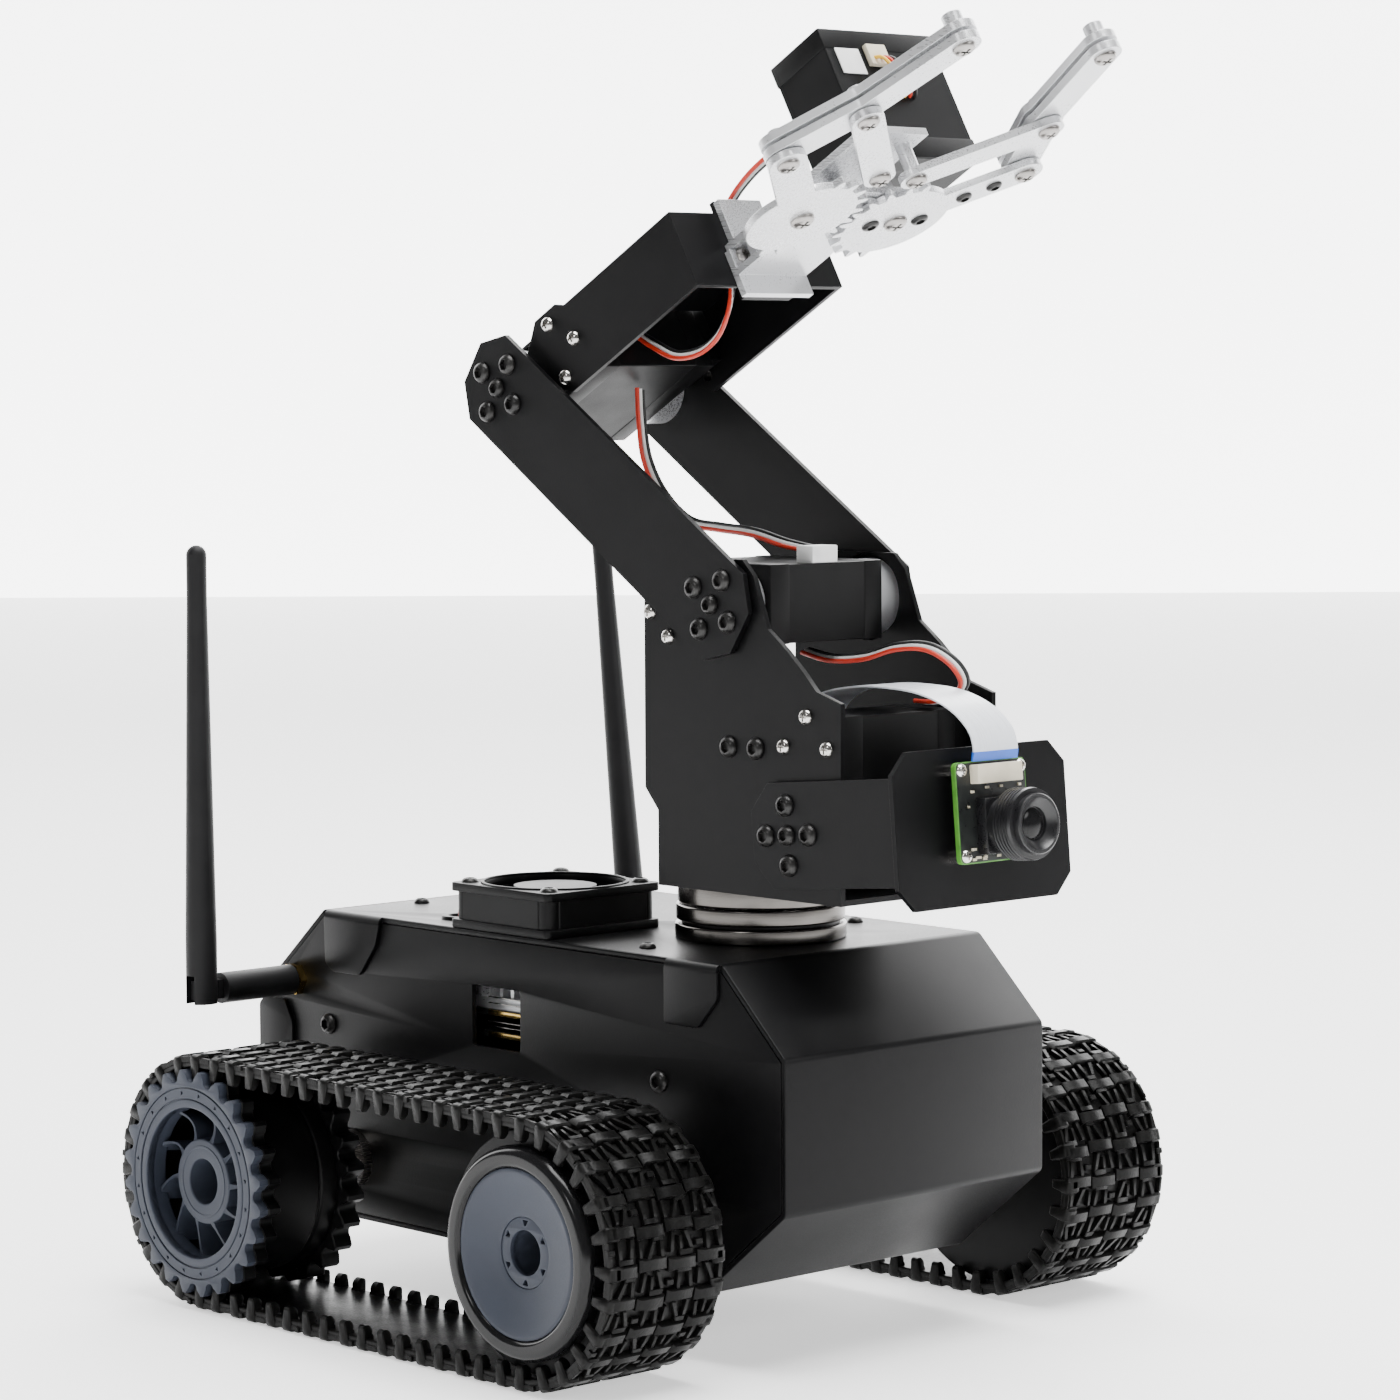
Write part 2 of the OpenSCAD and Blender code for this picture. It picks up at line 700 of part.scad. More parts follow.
module camera_bracket() {
    color([0.06, 0.06, 0.065]) in_camera() difference() {
        union() {
            both_sides() along_y(-arm_y, -arm_y + plate_t)
                polygon([[-12.5, -6.5], [-6, -13.35], [bracket_x, -13.35], [bracket_x, 13.35],
                    [-6, 13.35], [-12.5, 6.5]]);
            along_x(bracket_x - plate_t, bracket_x)
                cut_rect(-bracket_half, -bracket_h, bracket_half, bracket_h, 5.5);
        }
        horn_holes(0);
    }
}

// round discs that carry a bracket on a servo's output, with a stub in the servo
module horn_pair() {
    both_sides() {
        rod_y(0, 0, horn_r, -arm_y + plate_t, -servo_half_h - gap);
        rod_y(0, 0, spline_r, -servo_half_h - gap, -servo_half_h + spline_len);
    }
}

module camera_horns() {
    color([0.75, 0.75, 0.76]) in_camera() {
        horn_pair();
        both_sides() for (p = concat([[0, 0]], horn_screws)) screw_y(p[0], p[1], arm_y);
    }
}

module camera_board() {
    color([0.05, 0.25, 0.1]) in_camera() {
        block([board_x, -13.5, -9], [board_x + 1.4, 11.5, 16]);
        for (y = [-11.5, 9.5], z = [-7, 14]) translate([bracket_x, y, z]) rotate([0, 90, 0])
            cylinder(r = 1.8, h = board_x - bracket_x);
    }
}

module camera_lens() {
    color([0.03, 0.03, 0.03]) in_camera() {
        translate([board_x + 1.4, 0, 0]) {
            block([0, -7, -7], [3.4, 7, 7]);
            rotate([0, 90, 0]) translate([0, 0, 3.4]) {
                cylinder(r = 7, h = 3);
                translate([0, 0, 3]) cylinder(r = 9, h = 6.4);
                translate([0, 0, 9.4]) cylinder(r = 7.5, h = 1.6);
            }
        }
        block([board_x + 1.4, -8.5, 10.5], [board_x + 4.4, 7.5, 15.2]);
    }
}

// flat cable from the camera over the tilt servo and down through the base's slot
ribbon_route = [[130.6, 152.7], [130.8, 156.4], [128.6, 160.8], [122, 165.4], [112, 168.4],
    [100, 169.3], [88, 168.8], [76, 166], [69.6, 160], [67.8, 150], [67.7, 134], [67.7, 116.8]];

// outline of a strip of thickness t along a route
module strip(route, t) {
    pts = smooth(route, 3);
    m = len(pts);
    n = [for (i = [0 : m - 1]) edge_normal(pts[max(i - 1, 0)], pts[min(i + 1, m - 1)])];
    polygon(concat([for (i = [0 : m - 1]) pts[i] + n[i] * t / 2],
        [for (i = [m - 1 : -1 : 0]) pts[i] - n[i] * t / 2]));
}

module camera_ribbon() {
    color([0.9, 0.92, 0.94]) along_y(-8, 8) strip(ribbon_route, 0.5);
}

// ---- upper arm ----

module arm_plate() {
    color([0.06, 0.06, 0.065]) in_upper_arm() difference() {
        along_y(-arm_y, -arm_y + plate_t)
            cut_rect(-arm_round, -arm_w / 2, upper_len + arm_round, arm_w / 2, arm_chamfer);
        for (x = [0, upper_len]) horn_holes(x);
    }
}

module right_upper_arm() { arm_plate(); }
module left_upper_arm() { on_left() arm_plate(); }

module arm_horns() {
    color([0.75, 0.75, 0.76]) in_upper_arm() for (x = [0, upper_len])
        translate([x, 0, 0]) horn_pair();
}

module arm_screws() {
    color([0.1, 0.1, 0.1]) in_upper_arm() both_sides() for (x = [0, upper_len]) {
        for (p = concat([[0, 0]], horn_screws)) screw_y(x + p[0], p[1], arm_y);
    }
}

// ---- forearm and gripper, in the forearm's frame ----

fore_y = 26;
fore_u = 77;
fore_side = [[22, -13.5], [fore_u, -13.5], [fore_u, 8], [30, 8], [27, 10], [18, 10],
    [11, 4], [11, -5]];
fore_screws = [[22.4, 6.5], [29.6, -1.7], [21.8, -8.9]];

module forearm_frame() {
    color([0.06, 0.06, 0.065]) in_forearm() difference() {
        union() {
            both_sides() along_y(-fore_y, -fore_y + plate_t) polygon(fore_side);
            block([30, -fore_y, 8 - plate_t], [fore_u, fore_y, 8]);
            along_x(fore_u - plate_t, fore_u) {
                translate([-fore_y, -13.5]) square([2 * fore_y, 21.5]);
                translate([-11, -17]) square([17, 6]);
                translate([-9, 4]) square([15, 7.5]);
            }
        }
        block([55, -13, 0], [73, 13, 12]);
        for (p = fore_screws) rod_y(p[0], p[1], 1.5, -60, 60);
        for (y = [-8, 8]) translate([70, y, -6]) rotate([0, 90, 0]) cylinder(r = 1.5, h = 10);
    }
}

module elbow_servo() {
    color([0.05, 0.05, 0.05]) in_forearm() difference() {
        union() {
            rotate([-90, 0, 0]) servo_case();
            both_sides() block([13, -fore_y + plate_t, -8], [29, -servo_half_h, 8]);
        }
        rod_y(22.4, 6.5, 1.6, -60, -30);
    }
}

gear_teeth = 20;
gear_pitch_r = gear_y;

// outline of a crank: toothed disc and arm, tooth on the centre line when phase is 0.5
module crank_outline(phase) {
    circle(r = gear_pitch_r - 1.6);
    for (k = [-5 : 5]) rotate(90 + (k + phase) * 360 / gear_teeth)
        polygon([[gear_pitch_r - 2, -1.35], [gear_pitch_r, -0.85], [gear_pitch_r + 1.1, -0.4],
            [gear_pitch_r + 1.1, 0.4], [gear_pitch_r, 0.85], [gear_pitch_r - 2, 1.35]]);
    bar([0, 0], [crank_u, -crank_v], 5);
}

module jaw_layer(low, high) {
    translate([0, 0, jaw_m + low]) linear_extrude(high - low) children();
}

module crank(phase) {
    in_forearm() {
        difference() {
            jaw_layer(-1, 1) translate([gear_u, -gear_y]) crank_outline(phase);
            translate([gear_u, -gear_y, jaw_m - 5]) cylinder(r = pivot_r + fit, h = 10);
            translate([gear_u + crank_u, -gear_y - crank_v, jaw_m - 5])
                cylinder(r = pivot_r + fit, h = 10);
        }
    }
}

module right_crank() { color([0.8, 0.8, 0.82]) crank(0); }
module left_crank() {
    color([0.8, 0.8, 0.82]) {
        on_left() crank(0.5);
        in_forearm() translate([gear_u, gear_y, jaw_m - 1]) cylinder(r = spline_r, h = 15);
    }
}

module link() {
    color([0.8, 0.8, 0.82]) in_forearm() difference() {
        jaw_layer(-1, 1) translate([link_u, -link_y]) bar([0, 0], [crank_u, -crank_v], 4.2);
        translate([link_u, -link_y, jaw_m - 5]) cylinder(r = pivot_r + fit, h = 10);
        translate([link_u + crank_u, -link_y - crank_v, jaw_m - 5])
            cylinder(r = pivot_r + gap, h = 10);
    }
}

module right_link() { link(); }
module left_link() { on_left() link(); }

// finger: two cranked bars held apart by the pivot pins and a tip spacer
module finger() {
    p1 = [gear_u + crank_u, -gear_y - crank_v];
    p2 = [link_u + crank_u, -link_y - crank_v];
    tip = p2 + [tip_u, tip_v];
    color([0.8, 0.8, 0.82]) in_forearm() {
        for (low = [bar_1, bar_2]) jaw_layer(low, low + bar_t) {
            bar(p1, p2, 5);
            bar(p2, tip, tip_r);
        }
        for (p = [p1, p2]) translate([p[0], p[1], jaw_m - 1.5])
            cylinder(r = pivot_r, h = 10);
        translate([tip[0], tip[1], jaw_m + bar_1]) cylinder(r = 2.5, h = 9);
    }
}

module right_finger() { finger(); }
module left_finger() { on_left() finger(); }

low_edge = [[79, -12], [94, -12], [gear_u + 2, -gear_y - 5], [gear_u + 10, -12],
    [gear_u + 10, 12], [gear_u + 2, gear_y + 5], [94, 12], [79, 12]];
high_edge = [[79, -11], [link_u + 5.5, -11], [link_u + 5.5, 11], [79, 11]];

// gripper base: two plates above the gears, with the fixed pivot pins hanging from them
module gripper_mount() {
    color([0.8, 0.8, 0.82]) in_forearm() {
        difference() {
            union() {
                jaw_layer(low_plate, low_plate + mount_t) polygon(low_edge);
                jaw_layer(high_plate, high_plate + mount_t) polygon(high_edge);
                along_x(fore_u, fore_u + mount_t) {
                    translate([-12, -17]) square([24, 13]);
                    translate([-9, -10]) square([15, 21]);
                }
                for (low = [low_plate, high_plate]) translate([fore_u, -11, jaw_m + low])
                    cube([3, 22, mount_t]);
            }
            translate([gear_u, gear_y, jaw_m]) cylinder(r = spline_r + 1, h = 8);
            for (y = [-8, 8]) translate([70, y, -6]) rotate([0, 90, 0])
                cylinder(r = 1.5, h = 14);
        }
        for (y = [-link_y, link_y]) translate([link_u, y, jaw_m - 1.5])
            cylinder(r = pivot_r, h = high_plate + 1.5);
        translate([gear_u, -gear_y, jaw_m - 1.5]) cylinder(r = pivot_r, h = 4);
        for (y = [7, -7], u = [84, 104]) translate([u, y, jaw_m + low_plate])
            cylinder(r = 2.5, h = high_plate - low_plate);
        for (u = [102, 117]) translate([u, 8.5, jaw_m + high_plate]) cylinder(r = 2, h = 3.3);
    }
}

module gripper_servo() {
    color([0.05, 0.05, 0.05]) in_forearm() translate([gear_u, gear_y, -0.5]) difference() {
        translate([-servo_half_t + 0.5, -servo_front, 0])
            cube([2 * servo_half_t - 0.5, servo_front + servo_back, 38]);
        translate([0, 0, -1]) cylinder(r = spline_r + fit, h = 5);
    }
}

shoulder_lead_route = [[68, 0, 202.6], [58, -1, 204], [46, -1, 206.5], [32, 0, 207.5],
    [20, 0, 209], [10, 0, 216], [4, 0, 225], [2, 0, 235], [1.4, 0, 243.6]];
tilt_lead_route = [[58, 6, 176], [68, 6, 174.5], [80, 6, 175.5], [90, 7, 178.3], [99, 9, 178.6],
    [106, 11, 175], [108.5, 12.5, 170], [104.5, 12.5, 166], [98, 12.5, 164.4], [92, 12.5, 164.2]];
gripper_lead_route = [[31.3, -4, -2], [35, -4, -7], [42, -5, -14], [52, -6, -18], [61, -6, -17],
    [67, -4, -10], [68.5, -2, -1], [68.5, 0, 7], [71, 3, 14], [78, 7, 19], [86, 12, 22],
    [93, 17, 23.6], [99.8, 19, 24]];

module servo_leads() {
    color([0.8, 0.12, 0.08]) {
        lead(shoulder_lead_route, 1.6);
        lead(tilt_lead_route, 1.6);
    }
}

module gripper_lead() { color([0.7, 0.7, 0.7]) in_forearm() lead(gripper_lead_route, 1.5); }

// ---- nodes ----

place() hull_tub();
place() deck_plate();
place() front_cover();
place() rear_cover();
place() hull_screws();
place() fan_frame();
place() fan_rotor();
place() fan_lead();
place() antenna_sockets();
place() computer_stack();
place() heat_sink();
place() battery_pack();
place() drive_motors();
place() idler_axle();
place() idler_bearings();
place() pan_servo();
place() power_switch();
place() power_rocker();
place() charge_jack();
place() turntable_base();
place() right_track();
place() left_track();
place() right_sprocket();
place() left_sprocket();
place() right_drive_shaft();
place() left_drive_shaft();
place() right_idler();
place() left_idler();
place() right_idler_tyre();
place() left_idler_tyre();
place() right_antenna_knuckle();
place() left_antenna_knuckle();
place() right_antenna();
place() left_antenna();
place() turntable_top();
place() base_frame();
place() base_screws();
place() shoulder_servo();
place() tilt_servo();
place() camera_bracket();
place() camera_horns();
place() camera_board();
place() camera_lens();
place() camera_ribbon();
place() right_upper_arm();
place() left_upper_arm();
place() arm_horns();
place() arm_screws();
place() forearm_frame();
place() elbow_servo();
place() gripper_mount();
place() gripper_servo();
place() servo_leads();
place() gripper_lead();
place() right_crank();
place() left_crank();
place() right_link();
place() left_link();
place() right_finger();
place() left_finger();
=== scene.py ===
"""Small tracked robot with arm, gripper and camera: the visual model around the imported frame."""
import json
import math
import random

import bmesh
import bpy
from mathutils import Matrix, Vector


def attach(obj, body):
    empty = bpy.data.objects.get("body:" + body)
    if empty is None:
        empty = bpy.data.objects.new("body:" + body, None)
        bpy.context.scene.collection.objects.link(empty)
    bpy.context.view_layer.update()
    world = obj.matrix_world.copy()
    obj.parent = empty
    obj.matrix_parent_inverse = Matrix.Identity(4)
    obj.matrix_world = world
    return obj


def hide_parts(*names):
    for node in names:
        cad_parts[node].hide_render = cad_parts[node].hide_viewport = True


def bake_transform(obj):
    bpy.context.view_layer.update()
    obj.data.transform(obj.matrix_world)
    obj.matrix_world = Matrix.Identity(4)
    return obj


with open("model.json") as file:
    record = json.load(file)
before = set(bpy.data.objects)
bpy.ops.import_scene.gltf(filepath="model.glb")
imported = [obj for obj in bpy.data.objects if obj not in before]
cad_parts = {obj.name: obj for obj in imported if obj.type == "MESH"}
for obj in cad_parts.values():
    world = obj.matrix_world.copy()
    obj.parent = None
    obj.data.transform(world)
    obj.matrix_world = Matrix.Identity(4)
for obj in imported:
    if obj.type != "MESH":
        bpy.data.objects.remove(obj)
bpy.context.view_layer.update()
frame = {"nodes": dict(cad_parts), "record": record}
JOINTS = {j["name"]: j for j in frame["record"]["behaviour"]["joints"]}

# ---------------------------------------------------------------- places, in the CAD's millimetres

SHOULDER = Vector((60.5, 0, 189.4))
SHIFT = SHOULDER.x - JOINTS["shoulder"]["pos_m"][0] * 1000


def pivot(joint):
    """A joint's place in working millimetres."""
    x, y, z = JOINTS[joint]["pos_m"]
    return Vector((x * 1000 + SHIFT, y * 1000, z * 1000))


def turn(axis, degrees):
    return Matrix.Rotation(math.radians(degrees), 4, axis)


def shift(x=0, y=0, z=0):
    return Matrix.Translation((x, y, z))


ELBOW = pivot("elbow")
UPPER_LEN = (ELBOW - SHOULDER).length
UPPER_ANGLE = math.degrees(math.atan2(ELBOW.z - SHOULDER.z, SHOULDER.x - ELBOW.x))
GRIP_AXIS = Vector(JOINTS["gripper"]["axis"])
FORE_ANGLE = math.degrees(math.atan2(GRIP_AXIS.x, -GRIP_AXIS.z))
CAMERA_TILT = 5
WORLD = Matrix.Scale(0.001, 4) @ shift(-SHIFT)
UPPER_ARM = shift(*SHOULDER) @ turn("Y", 180 + UPPER_ANGLE)
FOREARM = shift(*ELBOW) @ turn("Y", -FORE_ANGLE)
CAMERA = shift(*pivot("camera_tilt")) @ turn("Y", -CAMERA_TILT)
MIRROR = Matrix.Scale(-1, 4, (0, 1, 0))
IDENTITY = Matrix.Identity(4)

AXLE_X = pivot("right_idler_spin").x
AXLE_Z = pivot("right_idler_spin").z
HULL_Y = 46.4
DECK_Z = 101.4
WHEEL_Y = 101.3
BASE_Y = 27.8
ARM_Y = 29.8
TURNTABLE_X = 47.25

# ---------------------------------------------------------------- camera

YAW, PITCH, ROLL = math.radians(47.07), math.radians(4.33), math.radians(-0.25)
EYE = Vector((864.8 - SHIFT, -781.8, 248.7)) * 0.001
forward = Vector((-math.sin(YAW) * math.cos(PITCH), math.cos(YAW) * math.cos(PITCH), -math.sin(PITCH)))
right = forward.cross(Vector((0, 0, 1))).normalized()
up = right.cross(forward)
aim = Matrix((right, up, -forward)).transposed().to_4x4()
camera_data = bpy.data.cameras.new("camera")
camera_data.sensor_width = 36
camera_data.lens = 112.3
camera_data.clip_start = 0.05
camera = bpy.data.objects.new("camera", camera_data)
camera.matrix_world = Matrix.Translation(EYE) @ aim @ Matrix.Rotation(ROLL, 4, "Z")
bpy.context.scene.collection.objects.link(camera)
bpy.context.scene.camera = camera

# ---------------------------------------------------------------- materials


def node_tree(name):
    material = bpy.data.materials.new(name)
    material.use_nodes = True
    tree = material.node_tree
    shader = tree.nodes["Principled BSDF"]
    coords = tree.nodes.new("ShaderNodeTexCoord")
    return material, tree, shader, coords.outputs["Object"]


def noise(tree, coords, scale, detail=3.0, stretch=None):
    """Noise in object space; stretch scales the three axes for brushed or drawn grain."""
    tex = tree.nodes.new("ShaderNodeTexNoise")
    tex.inputs["Scale"].default_value = scale
    tex.inputs["Detail"].default_value = detail
    if stretch:
        mapping = tree.nodes.new("ShaderNodeMapping")
        mapping.inputs["Scale"].default_value = stretch
        tree.links.new(coords, mapping.inputs["Vector"])
        coords = mapping.outputs["Vector"]
    tree.links.new(coords, tex.inputs["Vector"])
    return tex.outputs["Fac"]


def ramp(tree, value, low, high):
    node = tree.nodes.new("ShaderNodeValToRGB")
    node.color_ramp.elements[0].position, node.color_ramp.elements[1].position = 0.3, 0.7
    node.color_ramp.elements[0].color = (*low, 1)
    node.color_ramp.elements[1].color = (*high, 1)
    tree.links.new(value, node.inputs["Fac"])
    return node.outputs["Color"]


def remap(tree, value, low, high):
    node = tree.nodes.new("ShaderNodeMapRange")
    node.inputs["From Min"].default_value = 0.3
    node.inputs["From Max"].default_value = 0.7
    node.inputs["To Min"].default_value = low
    node.inputs["To Max"].default_value = high
    tree.links.new(value, node.inputs["Value"])
    return node.outputs["Result"]


def bump(tree, shader, height, strength, distance):
    node = tree.nodes.new("ShaderNodeBump")
    node.inputs["Strength"].default_value = strength
    node.inputs["Distance"].default_value = distance
    tree.links.new(height, node.inputs["Height"])
    tree.links.new(node.outputs["Normal"], shader.inputs["Normal"])


def surface(name, low, high, rough, grain, metallic=0.0, patch=60, stretch=None, spec=0.5):
    """A finish with patchy colour, patchy roughness and fine grain.

    low, high: colours it varies between.  rough: (least, most) roughness.
    grain: (noise scale per metre, bump strength, bump depth in metres).
    """
    material, tree, shader, coords = node_tree(name)
    patches = noise(tree, coords, patch)
    tree.links.new(ramp(tree, patches, low, high), shader.inputs["Base Color"])
    fine = noise(tree, coords, grain[0], 2.0, stretch)
    mix = tree.nodes.new("ShaderNodeMath")
    mix.operation = "MULTIPLY_ADD"
    mix.inputs[1].default_value = 0.5
    tree.links.new(fine, mix.inputs[0])
    half = tree.nodes.new("ShaderNodeMath")
    half.operation = "MULTIPLY"
    half.inputs[1].default_value = 0.5
    tree.links.new(patches, half.inputs[0])
    tree.links.new(half.outputs[0], mix.inputs[2])
    tree.links.new(remap(tree, mix.outputs[0], *rough), shader.inputs["Roughness"])
    shader.inputs["Metallic"].default_value = metallic
    shader.inputs["Specular IOR Level"].default_value = spec
    bump(tree, shader, fine, grain[1], grain[2])
    return material


M = {
    "powder": surface("powder_coat", (0.0022, 0.0022, 0.0025), (0.0034, 0.0034, 0.0038), (0.32, 0.44),
        (2600, 0.16, 0.00012), patch=35, spec=0.13),
    "plastic": surface("moulded_black", (0.0024, 0.0024, 0.0026), (0.0042, 0.0042, 0.0045), (0.36, 0.5),
        (3800, 0.2, 0.0001), patch=90, spec=0.15),
    "rubber": surface("track_rubber", (0.003, 0.003, 0.003), (0.0065, 0.0064, 0.006), (0.28, 0.46), (1500,
        0.35, 0.0002), patch=160, spec=0.12),
    "antenna": surface("antenna_black", (0.0045, 0.0045, 0.005), (0.0075, 0.0075, 0.008), (0.46, 0.58),
        (4200, 0.22, 0.00008), patch=80, spec=0.2),
    "slate": surface("slate_plastic", (0.024, 0.029, 0.043), (0.030, 0.036, 0.052), (0.46, 0.6), (3000,
        0.18, 0.0001), patch=70, spec=0.3),
    "gloss": surface("gloss_black", (0.006, 0.006, 0.0065), (0.008, 0.008, 0.0085), (0.12, 0.2), (900, 0.05,
        0.0001), patch=60, spec=0.22),
    "lens": surface("lens_black", (0.006, 0.006, 0.007), (0.009, 0.009, 0.01), (0.25, 0.38), (3000, 0.12,
        0.00006), patch=120),
    "steel": surface("turned_steel", (0.27, 0.255, 0.24), (0.42, 0.40, 0.385), (0.2, 0.36), (900, 0.18,
        0.00006), metallic=1.0, patch=45, stretch=(0.06, 0.06, 6)),
    "ring": surface("bearing_ring", (0.09, 0.085, 0.08), (0.17, 0.16, 0.15), (0.16, 0.28), (900, 0.2,
        0.00005), metallic=1.0, patch=45, stretch=(0.06, 0.06, 6)),
    "bright": surface("bright_screw", (0.55, 0.53, 0.5), (0.72, 0.70, 0.67), (0.12, 0.25), (1500, 0.1,
        0.00005), metallic=1.0, patch=120),
    "alu": surface("satin_aluminium", (0.6, 0.605, 0.62), (0.68, 0.685, 0.7), (0.24, 0.36), (1400, 0.06,
        0.00004), metallic=0.62, patch=25, stretch=(0.12, 2, 2)),
    "screw": surface("black_screw", (0.018, 0.018, 0.018), (0.03, 0.029, 0.028), (0.26, 0.42), (2000, 0.15,
        0.00005), metallic=0.6, patch=150),
    "gold": surface("gold_plate", (0.72, 0.47, 0.13), (0.85, 0.6, 0.22), (0.14, 0.26), (1500, 0.1, 0.00005),
        metallic=1.0, patch=120),
    "board": surface("board_green", (0.05, 0.2, 0.02), (0.09, 0.3, 0.035), (0.35, 0.5), (1200, 0.1,
        0.00005), patch=300),
    "board_dark": surface("board_black", (0.008, 0.009, 0.009), (0.014, 0.016, 0.015), (0.25, 0.4), (900,
        0.15, 0.00008), patch=400),
    "cream": surface("connector_cream", (0.62, 0.56, 0.42), (0.72, 0.66, 0.52), (0.35, 0.5), (1600, 0.1,
        0.00005), patch=200),
    "white": surface("connector_white", (0.78, 0.78, 0.77), (0.86, 0.86, 0.85), (0.3, 0.42), (1600, 0.1,
        0.00005), patch=200),
    "ribbon": surface("ribbon_film", (0.74, 0.77, 0.82), (0.80, 0.83, 0.87), (0.24, 0.36), (1800, 0.25,
        0.0001), patch=40, stretch=(0.05, 1, 0.05)),
    "blue": surface("stiffener_blue", (0.01, 0.10, 0.55), (0.015, 0.13, 0.66), (0.3, 0.42), (1500, 0.1,
        0.00004), patch=120),
    "red": surface("wire_red", (0.52, 0.025, 0.01), (0.66, 0.04, 0.018), (0.3, 0.42), (1800, 0.12, 0.00005),
        patch=150),
    "wire_white": surface("wire_white", (0.72, 0.72, 0.71), (0.82, 0.82, 0.81), (0.3, 0.42), (1800, 0.12,
        0.00005), patch=150),
    "wire_black": surface("wire_black", (0.01, 0.01, 0.01), (0.016, 0.016, 0.016), (0.3, 0.45), (1800, 0.12,
        0.00005), patch=150),
    "yellow": surface("wire_yellow", (0.75, 0.42, 0.02), (0.85, 0.52, 0.04), (0.3, 0.42), (1800, 0.12,
        0.00005), patch=150),
    "cell": surface("cell_sleeve", (0.02, 0.1, 0.4), (0.03, 0.13, 0.48), (0.25, 0.38), (1500, 0.1, 0.00005),
        patch=90),
    "rocker": surface("rocker_red", (0.4, 0.012, 0.01), (0.5, 0.02, 0.015), (0.25, 0.36), (1500, 0.1,
        0.00005), patch=90),
}

# ---------------------------------------------------------------- mesh helpers


def smooth(obj, angle=35):
    mesh = obj.data
    mesh.polygons.foreach_set("use_smooth", [True] * len(mesh.polygons))
    mesh.set_sharp_from_angle(angle=math.radians(angle))


def add(name, mesh, body, material, replaces=(), angle=35, bend=None):
    """Puts a mesh in the scene as a piece that rides on a body; given bend, it stays unparented with its place
    baked into the mesh.
    """
    obj = bpy.data.objects.new(name, mesh)
    bpy.context.scene.collection.objects.link(obj)
    mesh.materials.clear()
    mesh.materials.append(M[material])
    smooth(obj, angle)
    if bend:
        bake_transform(obj)
    else:
        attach(obj, body)
    if replaces:
        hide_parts(*replaces)
    return obj


def to_mesh(name, bm, matrix=IDENTITY):
    """A bmesh in working millimetres becomes a mesh in the frame's metres."""
    bm.transform(WORLD @ matrix)
    if (WORLD @ matrix).determinant() < 0:
        bmesh.ops.reverse_faces(bm, faces=bm.faces)
    mesh = bpy.data.meshes.new(name)
    bm.to_mesh(mesh)
    bm.free()
    return mesh


def piece(name, bm, body, material, slot, replaces=(), matrix=IDENTITY, angle=35):
    """A bmesh in working millimetres becomes a piece."""
    bmesh.ops.recalc_face_normals(bm, faces=bm.faces)
    return add(name, to_mesh(name, bm, matrix), body, material, replaces, angle)


def add_block(bm, low, high, chamfer=0.0):
    """A box from its lowest to its highest corner, with its edges cut back by chamfer."""
    size = Vector(high) - Vector(low)
    middle = (Vector(high) + Vector(low)) / 2
    made = bmesh.ops.create_cube(bm, size=1, matrix=shift(*middle) @ Matrix.Diagonal((*size, 1)))
    if chamfer:
        edges = {e for v in made["verts"] for e in v.link_edges}
        bmesh.ops.bevel(bm, geom=list(edges), offset=chamfer, segments=2, profile=0.6, affect="EDGES")
    return made


def loft(bm, rings, caps=True):
    """Skins a row of rings that have the same number of points; caps closes its two ends."""
    n = len(rings[0])
    for a, b in zip(rings, rings[1:]):
        for k in range(n):
            bm.faces.new((a[k], a[(k + 1) % n], b[(k + 1) % n], b[k]))
    if caps:
        bm.faces.new(rings[0][::-1])
        bm.faces.new(rings[-1])


def revolve(bm, profile, steps=64, matrix=IDENTITY, closed=True):
    """Turns a profile of (radius, height) round Z."""
    rings = []
    for r, h in profile:
        if r < 1e-6:
            rings.append([bm.verts.new(matrix @ Vector((0, 0, h)))])
        else:
            rings.append([bm.verts.new(matrix @ Vector((r * math.cos(2 * math.pi * k / steps),
                    r * math.sin(2 * math.pi * k / steps), h))) for k in range(steps)])
    pairs = list(zip(rings, rings[1:]))
    if closed:
        pairs.append((rings[-1], rings[0]))
    for a, b in pairs:
        for k in range(steps):
            n = (k + 1) % steps
            if len(a) == 1 and len(b) == 1:
                break
            if len(a) == 1:
                bm.faces.new((a[0], b[n], b[k]))
            elif len(b) == 1:
                bm.faces.new((a[k], a[n], b[0]))
            else:
                bm.faces.new((a[k], a[n], b[n], b[k]))


def rounded(profile, radius, steps=3, closed=True):
    """A profile with each corner turned into a short arc."""
    out = []
    n = len(profile)
    for i, p in enumerate(profile):
        if not closed and i in (0, n - 1):
            out.append(tuple(p))
            continue
        p = Vector(p)
        a, b = Vector(profile[i - 1]), Vector(profile[(i + 1) % n])
        r = min(radius, (a - p).length * 0.45, (b - p).length * 0.45)
        start, end = p + (a - p).normalized() * r, p + (b - p).normalized() * r
        for k in range(steps + 1):
            t = k / steps
            out.append(tuple((1 - t) ** 2 * start + 2 * t * (1 - t) * p + t * t * end))
    return out


def spun(points, angle):
    """Flat points turned about the origin by an angle in radians."""
    c, s = math.cos(angle), math.sin(angle)
    return [(x * c - y * s, x * s + y * c) for x, y in points]


def disc_points(x, y, r, steps=24):
    return [(x + r * math.cos(2 * math.pi * k / steps), y + r * math.sin(2 * math.pi * k / steps))
            for k in range(steps)]


